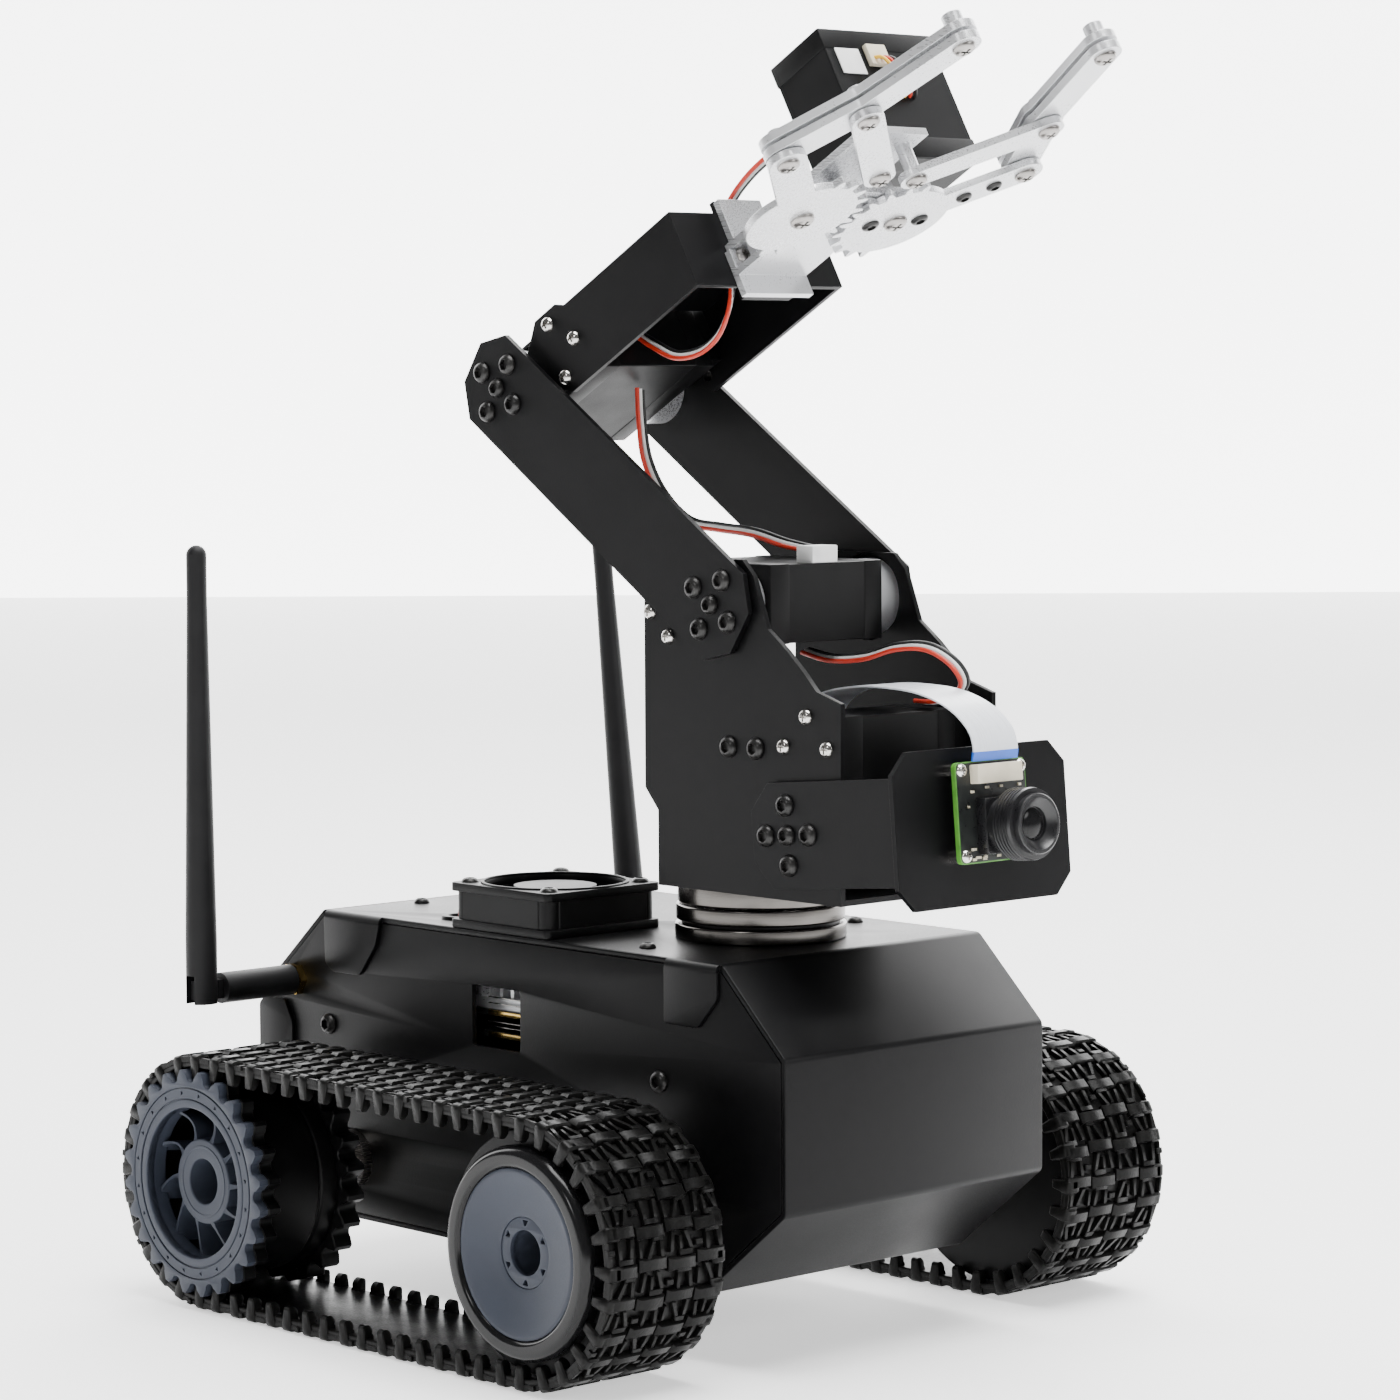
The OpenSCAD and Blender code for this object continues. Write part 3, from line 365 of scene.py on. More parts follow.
def plate_mesh(name, loops, low, high, matrix, edge=0.2, steps=1):
    """A flat plate from an outline and holes, low to high along the local Z, with eased edges."""
    curve = bpy.data.curves.new(name, "CURVE")
    curve.dimensions = "2D"
    curve.fill_mode = "BOTH"
    curve.extrude = (high - low) / 2 - edge
    curve.bevel_depth = edge
    curve.bevel_resolution = steps - 1
    curve.offset = -edge
    for loop in loops:
        spline = curve.splines.new("POLY")
        spline.points.add(len(loop) - 1)
        for point, (x, y) in zip(spline.points, loop):
            point.co = (x, y, 0, 1)
        spline.use_cyclic_u = True
    holder = bpy.data.objects.new(name, curve)
    bpy.context.scene.collection.objects.link(holder)
    evaluated = holder.evaluated_get(bpy.context.evaluated_depsgraph_get())
    mesh = bpy.data.meshes.new_from_object(evaluated)
    bpy.data.objects.remove(holder)
    bpy.data.curves.remove(curve)
    bm = bmesh.new()
    bm.from_mesh(mesh)
    bpy.data.meshes.remove(mesh)
    bmesh.ops.remove_doubles(bm, verts=bm.verts, dist=0.002)
    bmesh.ops.recalc_face_normals(bm, faces=bm.faces)
    bm.transform(shift(z=(low + high) / 2))
    return to_mesh(name, bm, matrix)


# A plate drawn as (x, z) and standing along Y, or as (y, z) and standing along X.
# Local Z of the first is -Y, and of the second is +X.
ALONG_Y = turn("X", 90)
ALONG_X = turn("Z", 90) @ turn("X", 90)


def tube_mesh(name, route, radius, matrix, sides, per=6):
    """A round tube swept along a smooth curve through the route's points."""
    points = spline_points(route, per)
    bm = bmesh.new()
    rings = []
    up = Vector((0.3, 0.1, 0.95))
    for i, p in enumerate(points):
        tangent = (points[min(i + 1, len(points) - 1)] - points[max(i - 1, 0)]).normalized()
        side = tangent.cross(up).normalized()
        up = side.cross(tangent).normalized()
        around = [2 * math.pi * k / sides for k in range(sides)]
        rings.append([bm.verts.new(p + radius * (math.cos(a) * side + math.sin(a) * up)) for a in around])
    loft(bm, rings)
    bmesh.ops.recalc_face_normals(bm, faces=bm.faces)
    return to_mesh(name, bm, matrix)


def spline_points(route, per=6):
    """Points of a smooth curve through the route."""
    pts = [Vector(p) for p in route]
    out = []
    for i in range(len(pts) - 1):
        p0, p1, p2, p3 = pts[max(i - 1, 0)], pts[i], pts[i + 1], pts[min(i + 2, len(pts) - 1)]
        for k in range(per):
            t = k / per
            out.append(0.5 * (2 * p1 + (p2 - p0) * t + (2 * p0 - 5 * p1 + 4 * p2 - p3) * t * t
                       + (3 * p1 - p0 - 3 * p2 + p3) * t ** 3))
    out.append(pts[-1])
    return out


def join(name, meshes):
    """Several meshes as one."""
    bm = bmesh.new()
    for mesh in meshes:
        bm.from_mesh(mesh)
        bpy.data.meshes.remove(mesh)
    whole = bpy.data.meshes.new(name)
    bm.to_mesh(whole)
    bm.free()
    return whole


def eased_copy(name, node, body, material, width=0.25, segments=2):
    """A CAD node's own shape with its edges eased, standing in for the node."""
    bm = bmesh.new()
    bm.from_mesh(frame["nodes"][node].data)
    bmesh.ops.remove_doubles(bm, verts=bm.verts, dist=2e-6)
    bmesh.ops.dissolve_limit(bm, angle_limit=math.radians(1.0), verts=bm.verts, edges=bm.edges)
    mesh = bpy.data.meshes.new(name)
    bm.to_mesh(mesh)
    bm.free()
    piece = add(name, mesh, body, material, (node,), angle=32)
    bevel = piece.modifiers.new("eased", "BEVEL")
    bevel.width = width * 0.001
    bevel.segments = segments
    bevel.limit_method = "ANGLE"
    bevel.angle_limit = math.radians(32)
    bevel.use_clamp_overlap = True
    bevel.harden_normals = True
    return piece

# ---------------------------------------------------------------- cords

SERVO_COLORS = (("red", "red"), ("white", "wire_white"), ("black", "wire_black"))
STRAND_R = 0.6


def lead(name, body, route, colors, replaces=(), matrix=IDENTITY, bend=None):
    """A flat group of single wires that run side by side along a route and cross over once."""
    centre = spline_points(route)
    for i, (color, material) in enumerate(colors):
        spread = (i - (len(colors) - 1) / 2) * 2.15 * STRAND_R
        wire = []
        for k, p in enumerate(centre):
            turned = math.radians(25 + 50 * math.sin(math.pi * k / (len(centre) - 1) * 1.5))
            wire.append(p + Vector((spread * 0.35 * math.sin(turned), spread * math.cos(turned),
                    spread * 0.6 * math.sin(turned))))
        mesh = tube_mesh(f"{name}_{color}", wire, STRAND_R, matrix, 10, 1)
        obj = add(f"{name}_{color}", mesh, body, material, replaces if i == 0 else (), 60, bend)


FAN_LEAD = [(-24.6, -36, 104), (-28, -35.4, 106.4), (-33, -33.6, 106), (-35.6, -32.2, 102), (-36, -32, 97)]
SHOULDER_LEAD = [(68, 0, 202.6), (58, -1, 204), (46, -1, 206.5), (32, 0, 207.5), (20, 0, 209), (10, 0, 216),
        (4, 0, 225), (2, 0, 235), (1.4, 0, 243.6)]
TILT_LEAD = [(58, 6, 176), (68, 6, 174.5), (80, 6, 175.5), (90, 7, 178.3), (99, 9, 178.6), (106, 11, 175),
        (108.5, 12.5, 170), (104.5, 12.5, 166), (98, 12.5, 164.4), (92, 12.5, 164.2)]
GRIPPER_LEAD = [(31.3, -4, -2), (35, -4, -7), (42, -5, -14), (52, -6, -18), (61, -6, -17), (67, -4, -10),
        (68.5, -2, -1), (68.5, 0, 7), (71, 3, 14), (78, 7, 19), (86, 12, 22), (93, 17, 23.6), (99.8, 19, 24)]
RIBBON = [(130.6, 152.7), (130.8, 156.4), (128.6, 160.8), (122, 165.4), (112, 168.4), (100, 169.3),
        (88, 168.8), (76, 166), (69.6, 160), (67.8, 150), (67.7, 134), (67.7, 116.8)]
BASE_TO_ARM = ("arm_base", "upper_arm", WORLD @ Vector((32, 0, 207.5)), WORLD @ Vector((4, 0, 225)))
BASE_TO_CAMERA = ("arm_base", "camera", WORLD @ Vector((108, 0, 160)), WORLD @ Vector((130, 0, 154)))


def ribbon():
    """The flat cable, and the stiffener at its camera end."""
    centre = spline_points([(x, 0, z) for x, z in RIBBON])
    for name, material, first, last, half_y, half_t in (("ribbon_film", "ribbon", 0, None, 7.9, 0.2),
            ("ribbon_stiffener", "blue", 0, 5, 8.0, 0.3)):
        run = centre[first:last]
        bm = bmesh.new()
        rings = []
        for i, p in enumerate(run):
            t = (run[min(i + 1, len(run) - 1)] - run[max(i - 1, 0)]).normalized()
            n = Vector((-t.z, 0, t.x)) * half_t
            rings.append([bm.verts.new(p + n * s + Vector((0, y, 0)))
                    for s, y in ((-1, -half_y), (1, -half_y), (1, half_y), (-1, half_y))])
        loft(bm, rings)
        bmesh.ops.recalc_face_normals(bm, faces=bm.faces)
        obj = add(name, to_mesh(name, bm), None, material, () if last else ("camera_ribbon",), 50,
                  BASE_TO_CAMERA)


lead("fan_wire", "hull", FAN_LEAD, (("red", "red"), ("black", "wire_black")), ("fan_lead",))
lead("shoulder_wire", None, SHOULDER_LEAD, SERVO_COLORS, ("servo_leads",), bend=BASE_TO_ARM)
lead("tilt_wire", "arm_base", TILT_LEAD, SERVO_COLORS)
lead("gripper_wire", "forearm", GRIPPER_LEAD, SERVO_COLORS, ("gripper_lead",), FOREARM)
ribbon()

# ---------------------------------------------------------------- screws


SCREW_STEPS = 24


def screw(bm, matrix, r, h, drive):
    """A button-head screw standing on local z = 0, with a hexagon or a cross recess."""
    def recess(a, scale):
        if drive == "hex":
            return scale * 0.46 * r / math.cos((a + math.pi / 6) % (math.pi / 3) - math.pi / 6)
        near = abs((a + math.pi / 4) % (math.pi / 2) - math.pi / 4)
        return scale * r * (0.52 if near < 0.3 else 0.17)

    def ring(radius, z):
        out = []
        for k in range(SCREW_STEPS):
            a = 2 * math.pi * k / SCREW_STEPS
            d = radius(a) if callable(radius) else radius
            out.append(bm.verts.new(matrix @ Vector((d * math.cos(a), d * math.sin(a), z))))
        return out

    rings = [ring(r * d, h * z) for d, z in ((0.97, -0.02), (1, 0.1), (0.98, 0.28), (0.86, 0.66), (0.7, 0.88),
            (0.6, 0.96))]
    rings += [ring(lambda a: recess(a, 1.08), h * 0.98), ring(lambda a: recess(a, 1.0), h * 0.92),
              ring(lambda a: recess(a, 0.96), h * 0.3)]
    loft(bm, rings)


def screws(name, body, material, places, replaces=(), matrix=IDENTITY):
    """Places are (matrix, radius, height, drive), in working millimetres."""
    bm = bmesh.new()
    for place, r, h, drive in places:
        screw(bm, place, r, h, drive)
    add(name, to_mesh(name, bm, matrix), body, material, replaces, angle=40)


def facing_right(x, z, y):
    """Where a screw stands on a face at -y, head outward."""
    return shift(x, -y, z) @ turn("X", 90)


def both(places):
    return [(m @ p[0], *p[1:]) for m in (IDENTITY, MIRROR) for p in places]


HORN = [(0, 0)] + [(7.5 * math.cos(a), 7.5 * math.sin(a)) for a in (0, math.pi / 2, math.pi, 3 * math.pi / 2)]


def horn_screws(x=0):
    return both([(facing_right(x + p[0], p[1], ARM_Y), 2.85 if k else 2.6, 1.7 if k else 1.9, "hex")
            for k, p in enumerate(HORN)])


screws("hull_side_screws", "hull", "screw",
       both([(facing_right(x, z, HULL_Y), 2.85, 1.7, "hex") for x, z in ((-75.8, 69.9), (58.7, 69.6))])
       + [(shift(x, y, DECK_Z), 2.2, 1.3, "hex") for x, y in ((-70, 18), (-70, -18), (44.6, 37.4), (44.6,
        -37.4))],
       ("hull_screws",))
BASE_BLACK = ((65, 153.6), (74.9, 153.7))
BASE_SILVER = ((85, 154.8), (92.9, 162.7), (100.3, 155), (42.6, 180.6), (35.9, 186.7))
screws("base_black_screws", "arm_base", "screw",
       both([(facing_right(x, z, BASE_Y), 2.85, 1.7, "hex") for x, z in BASE_BLACK]),
       ("base_screws",))
screws("base_silver_screws", "arm_base", "bright",
       both([(facing_right(x, z, BASE_Y), 2.1, 1.4, "cross") for x, z in BASE_SILVER]))
screws("arm_hex_screws", "upper_arm", "screw",
       [p for x in (0, UPPER_LEN) for p in horn_screws(x)], ("arm_screws",), UPPER_ARM)
screws("camera_hex_screws", "camera", "screw", horn_screws(), (), CAMERA)
FORE_SCREWS = ((22.4, 6.5), (29.6, -1.7), (21.8, -8.9))
screws("forearm_silver_screws", "forearm", "bright",
       both([(facing_right(x, z, 26), 2.1, 1.5, "cross") for x, z in FORE_SCREWS]), (), FOREARM)

# ---------------------------------------------------------------- hull

FOLD = 2.4
SHEET = 1.6
HULL_OUT = [(-76, 17.4), (74.8, 17.4), (104.3, 41.2), (104.3, 80), (81.8, DECK_Z), (-77.9, DECK_Z), (-105.9,
        77),
            (-105.9, 41.2)]


def corner_arc(i, radius):
    """Points of the bend at a corner of the hull outline, at this radius from the bend's centre."""
    p = Vector(HULL_OUT[i % 8])
    before = (p - Vector(HULL_OUT[(i - 1) % 8])).normalized()
    after = (Vector(HULL_OUT[(i + 1) % 8]) - p).normalized()
    n1, n2 = Vector((before.y, -before.x)), Vector((after.y, -after.x))
    centre = p - FOLD * (n1 + n2) / (1 + n1.dot(n2))
    return [tuple(centre + radius * n1.slerp(n2, k / 8)) for k in range(9)]


def folded_strip(first, last):
    """The folded sheet from half way round one corner to half way round another."""
    out, inner = [], []
    for i in range(first, last + 1):
        keep = slice(4, 9) if i == first else slice(0, 5) if i == last else slice(0, 9)
        out += corner_arc(i, FOLD)[keep]
        inner += corner_arc(i, FOLD - SHEET)[keep]
    return out + inner[::-1]


def standing(name, loops, y0, y1, edge):
    """A plate drawn in (x, z) that fills y0 to y1."""
    return plate_mesh(name, loops, -y1, -y0, ALONG_Y, edge, 2)


def flap(name, outline, x0, x1):
    """A deck flap folded down over the side panel: a bend along the deck's edge and a flat below it."""
    bend = 1.7
    meshes = [standing(name, [rounded(outline, 1.2)], -HULL_Y - 1.2, -HULL_Y, 0.25)]
    bm = bmesh.new()
    cy, cz = -HULL_Y - 1.2 + bend, DECK_Z - bend
    profile = [(cy - r * math.cos(math.pi * k / 16), cz + r * math.sin(math.pi * k / 16))
               for r, steps in ((bend, range(9)), (bend - 1.2, range(8, -1, -1))) for k in steps]
    ends = [[bm.verts.new((x, y, z)) for y, z in profile] for x in (x0 + 0.2, x1 - 0.2)]
    loft(bm, ends)
    bmesh.ops.recalc_face_normals(bm, faces=bm.faces)
    meshes.append(to_mesh(name, bm))
    return meshes


def mirrored(mesh):
    other = mesh.copy()
    other.transform(MIRROR)
    other.flip_normals()
    return other


def hull_shell():
    full = standing("front", [folded_strip(1, 4)], -HULL_Y, HULL_Y, 0.45)
    add("front_sheet", full, "hull", "powder", ("front_cover",))
    rear_side = [(-105.9, 43), (-103.5, 41.2), (-91, 41.2), (-91, 69), (-94.5, 75), (-103.5, 75), (-105.9,
            73)]
    cover = [standing("rear", [folded_strip(5, 8)], -HULL_Y, HULL_Y, 0.45)]
    wing = standing("wing", [rounded(rear_side, 1.0)], -HULL_Y - 1.2, -HULL_Y, 0.3)
    cover += [wing, mirrored(wing)]
    add("rear_sheet", join("rear_sheet", cover), "hull", "powder", ("rear_cover",))
    inner = [corner_arc(i, FOLD - SHEET - 0.05) for i in range(8)]
    side = [p for arc in inner for p in arc]
    window = rounded([(-14.7, 70.8), (4.7, 70.8), (4.7, 87), (-14.7, 87)], 0.8)
    holes = [window, disc_points(-AXLE_X, AXLE_Z, 8), disc_points(AXLE_X, AXLE_Z, 4),
             disc_points(-90, 81, 3.1)]
    panel = standing("side", [side] + holes, -HULL_Y, -HULL_Y + SHEET, 0.2)
    tub = [standing("floor", [folded_strip(0, 1)], -HULL_Y, HULL_Y, 0.45), panel, mirrored(panel)]
    add("tub_sheet", join("tub_sheet", tub), "hull", "powder", ("hull_tub",))


def deck():
    slab = plate_mesh("deck", [
        rounded([(-76.8, -HULL_Y), (80.9, -HULL_Y), (80.9, HULL_Y), (-76.8, HULL_Y)], 0.3),
        disc_points(-4.4, -26, 18.5, 48), disc_points(TURNTABLE_X, 0, 9), disc_points(-36, -32, 4.5)],
        DECK_Z - SHEET, DECK_Z, IDENTITY, 0.45, 2)
    rear = [(-76.4, 100), (-76, 87), (-73, 84.8), (-61, 84.8), (-54, 93.6), (-52.2, 100)]
    front = [(61.5, 100), (61.5, 84.8), (73.8, 84.8), (81.0, 92.8), (81.0, 100)]
    flaps = flap("rear_flap", rear, -76.4, -52.2) + flap("front_flap", front, 61.5, 81.0)
    ends = [standing("end", [corner_arc(i, FOLD)[part] + corner_arc(i, FOLD - SHEET)[part][::-1]],
            -HULL_Y, HULL_Y, 0.3) for i, part in ((4, slice(4, 9)), (5, slice(0, 5)))]
    grommet = bmesh.new()
    revolve(grommet, rounded([(4.4, -1.8), (5.4, -1.8), (5.4, 0.9), (3.4, 0.9), (3.4, -1.8)], 0.4), 40,
            shift(-36, -32, DECK_Z))
    piece("wire_grommet", grommet, "hull", "plastic", "black_plastic")
    add("deck_sheet", join("deck_sheet", [slab] + ends + flaps + [mirrored(m) for m in flaps]), "hull",
            "powder",
        ("deck_plate",))


hull_shell()
deck()

# ---------------------------------------------------------------- tracks

TRACK_IN, TRACK_OUT = 61.8, 99.8
BELT_IN, BELT_OUT, LUG_OUT = 30.65, 32.3, 34.1
LUG_STEP = 15
RUN_STEPS = 17


def prism(bm, outline, low, high, chamfer, matrix):
    """A convex prism with its top edges cut back; the outline is anticlockwise."""
    points = [Vector(p) for p in outline]
    middle = sum(points, Vector((0, 0))) / len(points)
    rings = []
    for z, cut in ((low, 0), (high - chamfer, 0), (high, chamfer)):
        ring = []
        for p in points:
            q = p - (p - middle).normalized() * cut * 1.3
            ring.append(bm.verts.new(matrix @ Vector((q.x, q.y, z))))
        rings.append(ring)
    loft(bm, rings)


# ribs between two bars, in (across, along) with along from 0 at one bar to 1 at the next
RIBS = (
    (((0.9, 0), (2.0, 0), (2.0, 0.76), (0.9, 0.76)), ((0.9, 0.76), (4.3, 0.76), (3.8, 1), (0.9, 1)),
     ((5.4, 0), (6.8, 0), (4.3, 0.76), (3.2, 0.76)), ((7.9, 0.15), (8.8, 0.15), (8.8, 0.85), (7.9, 0.85))),
    (((0.6, 0), (1.8, 0), (2.5, 0.78), (1.4, 0.78)), ((1.4, 0.78), (5.9, 0.78), (5.9, 1), (1.4, 1)),
     ((4.9, 0), (6.1, 0), (5.9, 0.78), (4.8, 0.78)), ((7.0, 0.3), (9.2, 0.3), (9.2, 0.55), (7.0, 0.55))),
    (((2.4, 0), (3.6, 0), (1.9, 0.76), (0.8, 0.76)), ((0.8, 0.76), (5.2, 0.76), (5.2, 1), (1.2, 1)),
     ((6.4, 0), (7.5, 0), (8.4, 0.8), (7.4, 0.8)), ((4.3, 0.2), (5.2, 0.2), (5.2, 0.76), (4.3, 0.76))),
)
COLUMNS = (62.1, 71.6, 81.1, 90.6)


def bar_row(bm, k, matrix):
    """A row of four bricks that step to and fro, and the hooks that wrap round the belt's two edges."""
    for j, y in enumerate(COLUMNS):
        step = 0.45 * (-1) ** (j + k)
        width = 8.9 if j < 3 else 8.2
        prism(bm, [(-1.6 + step, y), (1.6 + step, y), (1.6 + step, y + width), (-1.6 + step, y + width)],
              BELT_OUT - 0.1, LUG_OUT, 0.75, matrix)
    hook = rounded([(95.4, LUG_OUT), (TRACK_OUT, LUG_OUT), (TRACK_OUT, 27.6), (98.0, 27.2), (96.6, 28.6),
            (96.8, 30.5), (95.4, 31.2)], 1.6, 4)
    for side in (1, 0):
        rings = []
        for x, cut in ((-1.85, 0.6), (-1.35, 0), (1.35, 0), (1.85, 0.6)):
            ring = []
            for y, z in hook:
                taper = 0.72 if z < 30 else 1
                y = y if side else TRACK_IN + TRACK_OUT - y
                inward = (Vector((y, z)) - Vector((98.3 if side else 63.3, 31))).normalized() * cut
                ring.append(bm.verts.new(matrix @ Vector((x * taper + (0.45 if k % 2 else -0.45) * (z > 31),
                        y - inward.x, z - inward.y))))
            rings.append(ring)
        loft(bm, rings)


def rib_row(bm, k, half_gap, matrix):
    """The ribs between two rows of bricks, and a lower strip along each of the belt's two edges."""
    for j, y in enumerate(COLUMNS):
        flip = (j + k) % 2
        for rib in RIBS[(j + 2 * k) % 3]:
            points = [((b * 2 - 1) * half_gap * (-1 if flip else 1), y + a) for a, b in rib]
            prism(bm, points, BELT_OUT - 0.1, BELT_OUT + 1.25, 0.2, matrix)
    for y in (62.4, 98.4):
        prism(bm, [(-half_gap, y), (half_gap, y), (half_gap, y + 0.9), (-half_gap, y + 0.9)],
              BELT_OUT - 0.3, BELT_OUT + 0.9, 0.2, matrix)


def wheel_place(side, angle):
    """A frame on a wheel's rim whose local Z points away from the axle; angle 0 is the top."""
    return shift(side * AXLE_X, 0, AXLE_Z) @ turn("Y", side * angle)


def belt(bm):
    """The smooth loop of belt that carries the bars."""
    profile = rounded([(BELT_IN, 62.3), (BELT_OUT, 62.3), (BELT_OUT, 99.2), (BELT_IN, 99.2)], 0.5, 3)
    turns = range(0, 181, 5)
    stations = [wheel_place(-1, a) for a in turns] + [wheel_place(1, 180 - a) for a in turns]
    rings = [[bm.verts.new(m @ Vector((0, y, r))) for r, y in profile] for m in stations]
    loft(bm, rings + rings[:1], caps=False)


def track(side, matrix):
    bm = bmesh.new()
    belt(bm)
    for k in range(180 // LUG_STEP + 1):
        bar_row(bm, k, wheel_place(-1, LUG_STEP * k))
        bar_row(bm, k + 1, wheel_place(1, LUG_STEP * k))
    for k in range(180 // LUG_STEP):
        rib_row(bm, k, 3.0, wheel_place(-1, LUG_STEP * (k + 0.5)))
        rib_row(bm, k, 3.0, wheel_place(1, LUG_STEP * (k + 0.5)))
    step = 2 * AXLE_X / RUN_STEPS
    for top in (0, 180):
        for k in range(RUN_STEPS):
            place = shift(-AXLE_X + step * k, 0, AXLE_Z) @ turn("Y", top)
            if k:
                bar_row(bm, k, place)
            rib_row(bm, k, 2.6, shift(-AXLE_X + step * (k + 0.5), 0, AXLE_Z) @ turn("Y", top))
    piece(f"{side}_tread", bm, "hull", "rubber", "track_rubber", (f"{side}_track",), matrix, 40)


# ---------------------------------------------------------------- wheels

TEETH = 24
OUTER_FACE = turn("X", 90) @ shift(z=WHEEL_Y)


ROOT_STEPS = 8


def rim_outline():
    """Tooth tips flat, sides sloping, and a round root between every two."""
    out = []
    pitch = 2 * math.pi / TEETH
    for k in range(TEETH):
        a = (k + 0.5) * pitch
        for d, r in ((-0.66, 30.2), (0.66, 30.2)):
            out.append((r * math.cos(a + d / r), r * math.sin(a + d / r)))
        a += pitch / 2
        bends = [math.pi * i / ROOT_STEPS for i in range(ROOT_STEPS + 1)]
        out += spun([(28.25 - 1.3 * math.sin(b), -1.62 * math.cos(b)) for b in bends], a)
    return out


def sprocket(side, matrix):
    spot = matrix @ shift(-AXLE_X, 0, AXLE_Z) @ OUTER_FACE
    body = f"{side}_drive"
    pit = [(24 + 0.62 * math.cos(t), 0.62 * math.sin(t)) for t in (0.4, 2.5, 4.6)]
    pits = [spun(pit, math.pi * (2 * k + 1) / 20) for k in range(20)]
    meshes = [plate_mesh("rim", [rim_outline(), disc_points(0, 0, 20.1, 96)], -2.9, -0.45, spot, 0.3, 2),
              plate_mesh("band", [disc_points(0, 0, 25.25, 96), disc_points(0, 0, 22.7, 96)] + pits,
            -0.6, 0, spot, 0.12, 1),
              plate_mesh("edge", [rim_outline(), disc_points(0, 0, 25.6, 96)], -0.6, -0.05, spot, 0.2, 2)]
    bm = bmesh.new()
    revolve(bm, rounded([(20.1, -6.5), (20.1, -0.1), (22.35, -0.1), (22.35, -1), (22.6, -7)], 0.35), 96)
    revolve(bm, rounded([(6, -22), (6, -4), (11.4, -4), (11.4, -26), (6, -26)], 0.5), 72)
    revolve(bm, rounded([(8.9, -4.1), (8.9, -3.85), (9.6, -3.85), (9.6, -4.1)], 0.1), 72)
    revolve(bm, [(0, -22.5), (6.1, -22.5), (6.1, -24), (0, -24)], 48)
    for k in range(10):
        start = 2 * math.pi * k / 10
        rings = []
        for i in range(9):
            t = i / 8
            r = 10.8 + (21.2 - 10.8) * t
            a = start + 0.3 * t * t
            half = 0.45 + 0.8 * abs(2 * t - 1) ** 3
            ring = []
            for depth, sweep, grow in ((4.0 + 1.2 * math.sin(math.pi * t), 0, 0.8), (6.2, 0.01, 1), (12,
                    0.04, 1)):
                for s in (-1, 1):
                    b = a + sweep + s * half * grow / r
                    ring.append(bm.verts.new((r * math.cos(b), r * math.sin(b), -depth)))
            rings.append([ring[0], ring[1], ring[3], ring[5], ring[4], ring[2]])
        loft(bm, rings)
    bmesh.ops.recalc_face_normals(bm, faces=bm.faces)
    meshes.append(to_mesh("hub", bm, spot))
    add(f"{side}_sprocket_face", join("sprocket_face", meshes), body, "slate",
            (f"{side}_sprocket",))
    bm = bmesh.new()
    revolve(bm, rounded([(22.6, -29), (25.8, -29), (25.8, -24), (25.4, -23.6), (25.4, -23),
            (25.8, -22.6), (25.8, -6.9), (22.6, -6.9)], 0.4), 96)
    revolve(bm, [(6, -25), (23, -25), (23, -22), (6, -22)], 64)
    inner = plate_mesh("inner", [rim_outline(), disc_points(0, 0, 20.1, 64)], -35, -29, spot, 0.3, 1)
    outer = plate_mesh("outer", [rim_outline(), disc_points(0, 0, 22.4, 64)], -7, -2.95, spot, 0.25, 1)
    add(f"{side}_sprocket_drum", join("drum", [to_mesh("drum", bm, spot), inner, outer]), body, "plastic")
    bm = bmesh.new()
    revolve(bm, [(0, -14.2), (3, -14.2), (3, 30 - WHEEL_Y), (0, 30 - WHEEL_Y)], 32)
    piece(f"{side}_shaft", bm, body, "steel", "steel", (f"{side}_drive_shaft",), spot)


def idler(side, matrix):
    spot = matrix @ shift(AXLE_X, 0, AXLE_Z) @ OUTER_FACE
    body = f"{side}_front_wheel"
    bm = bmesh.new()
    dish = [(21.1, -1.0), (20.6, -0.75), (20.0, -0.8)]
    dish += [(r, -3.6 + 2.8 * ((r - 8.9) / 11.1) ** 1.25) for r in (18.6, 17, 15.2, 13.4, 11.8, 10.4, 9.4)]
    dish += [(8.95, -3.7), (8.75, -4.3)]
    revolve(bm, dish + [(8.75, -8), (21.1, -8)], 128)
    slots = []
    for k in range(6):
        slots.append(spun([(6.7, -0.2), (8.0, -0.95), (8.05, 0.95), (6.7, 0.35)], math.pi * (k + 0.5) / 3))
    centre = plate_mesh("centre", [disc_points(0, 0, 8.8, 72), disc_points(0, 0, 5.6, 48)] + slots,
            -6, -3.9, spot, 0.15, 2)
    revolve(bm, [(5.6, -20), (5.75, -20), (5.75, -5), (5.6, -5)], 48)
    bmesh.ops.recalc_face_normals(bm, faces=bm.faces)
    add(f"{side}_idler_face", join("idler_face", [to_mesh("dish", bm, spot), centre]), body, "slate",
        (f"{side}_idler",))
    bm = bmesh.new()
    revolve(bm, rounded([(5.8, -36), (30.3, -36), (30.3, -6), (21, -6), (21, -7), (5.8, -7)], 0.5), 96)
    revolve(bm, [(0, -19), (5.7, -19), (5.7, -20), (0, -20)], 48)
    piece(f"{side}_idler_drum", bm, body, "plastic", "black_plastic", (), spot)
    bm = bmesh.new()
    revolve(bm, [(21.1, -6.2), (26.5, -6.2)] + rounded(
        [(26.5, -6.2), (26.65, -2.2), (25.3, 0), (22.0, -0.05), (21.1, -1.1),
         (21.1, -6.2)], 1.5, 6, closed=False)[1:-1] + [(21.1, -4)], 128)
    piece(f"{side}_tyre", bm, body, "gloss", "tyre_black", (f"{side}_idler_tyre",), spot, 50)


for side, matrix in (("right", IDENTITY), ("left", MIRROR)):
    track(side, MIRROR @ matrix)
    sprocket(side, matrix)
    idler(side, matrix)


# ---------------------------------------------------------------- fan and turntable

FAN = (-4.4, -26)


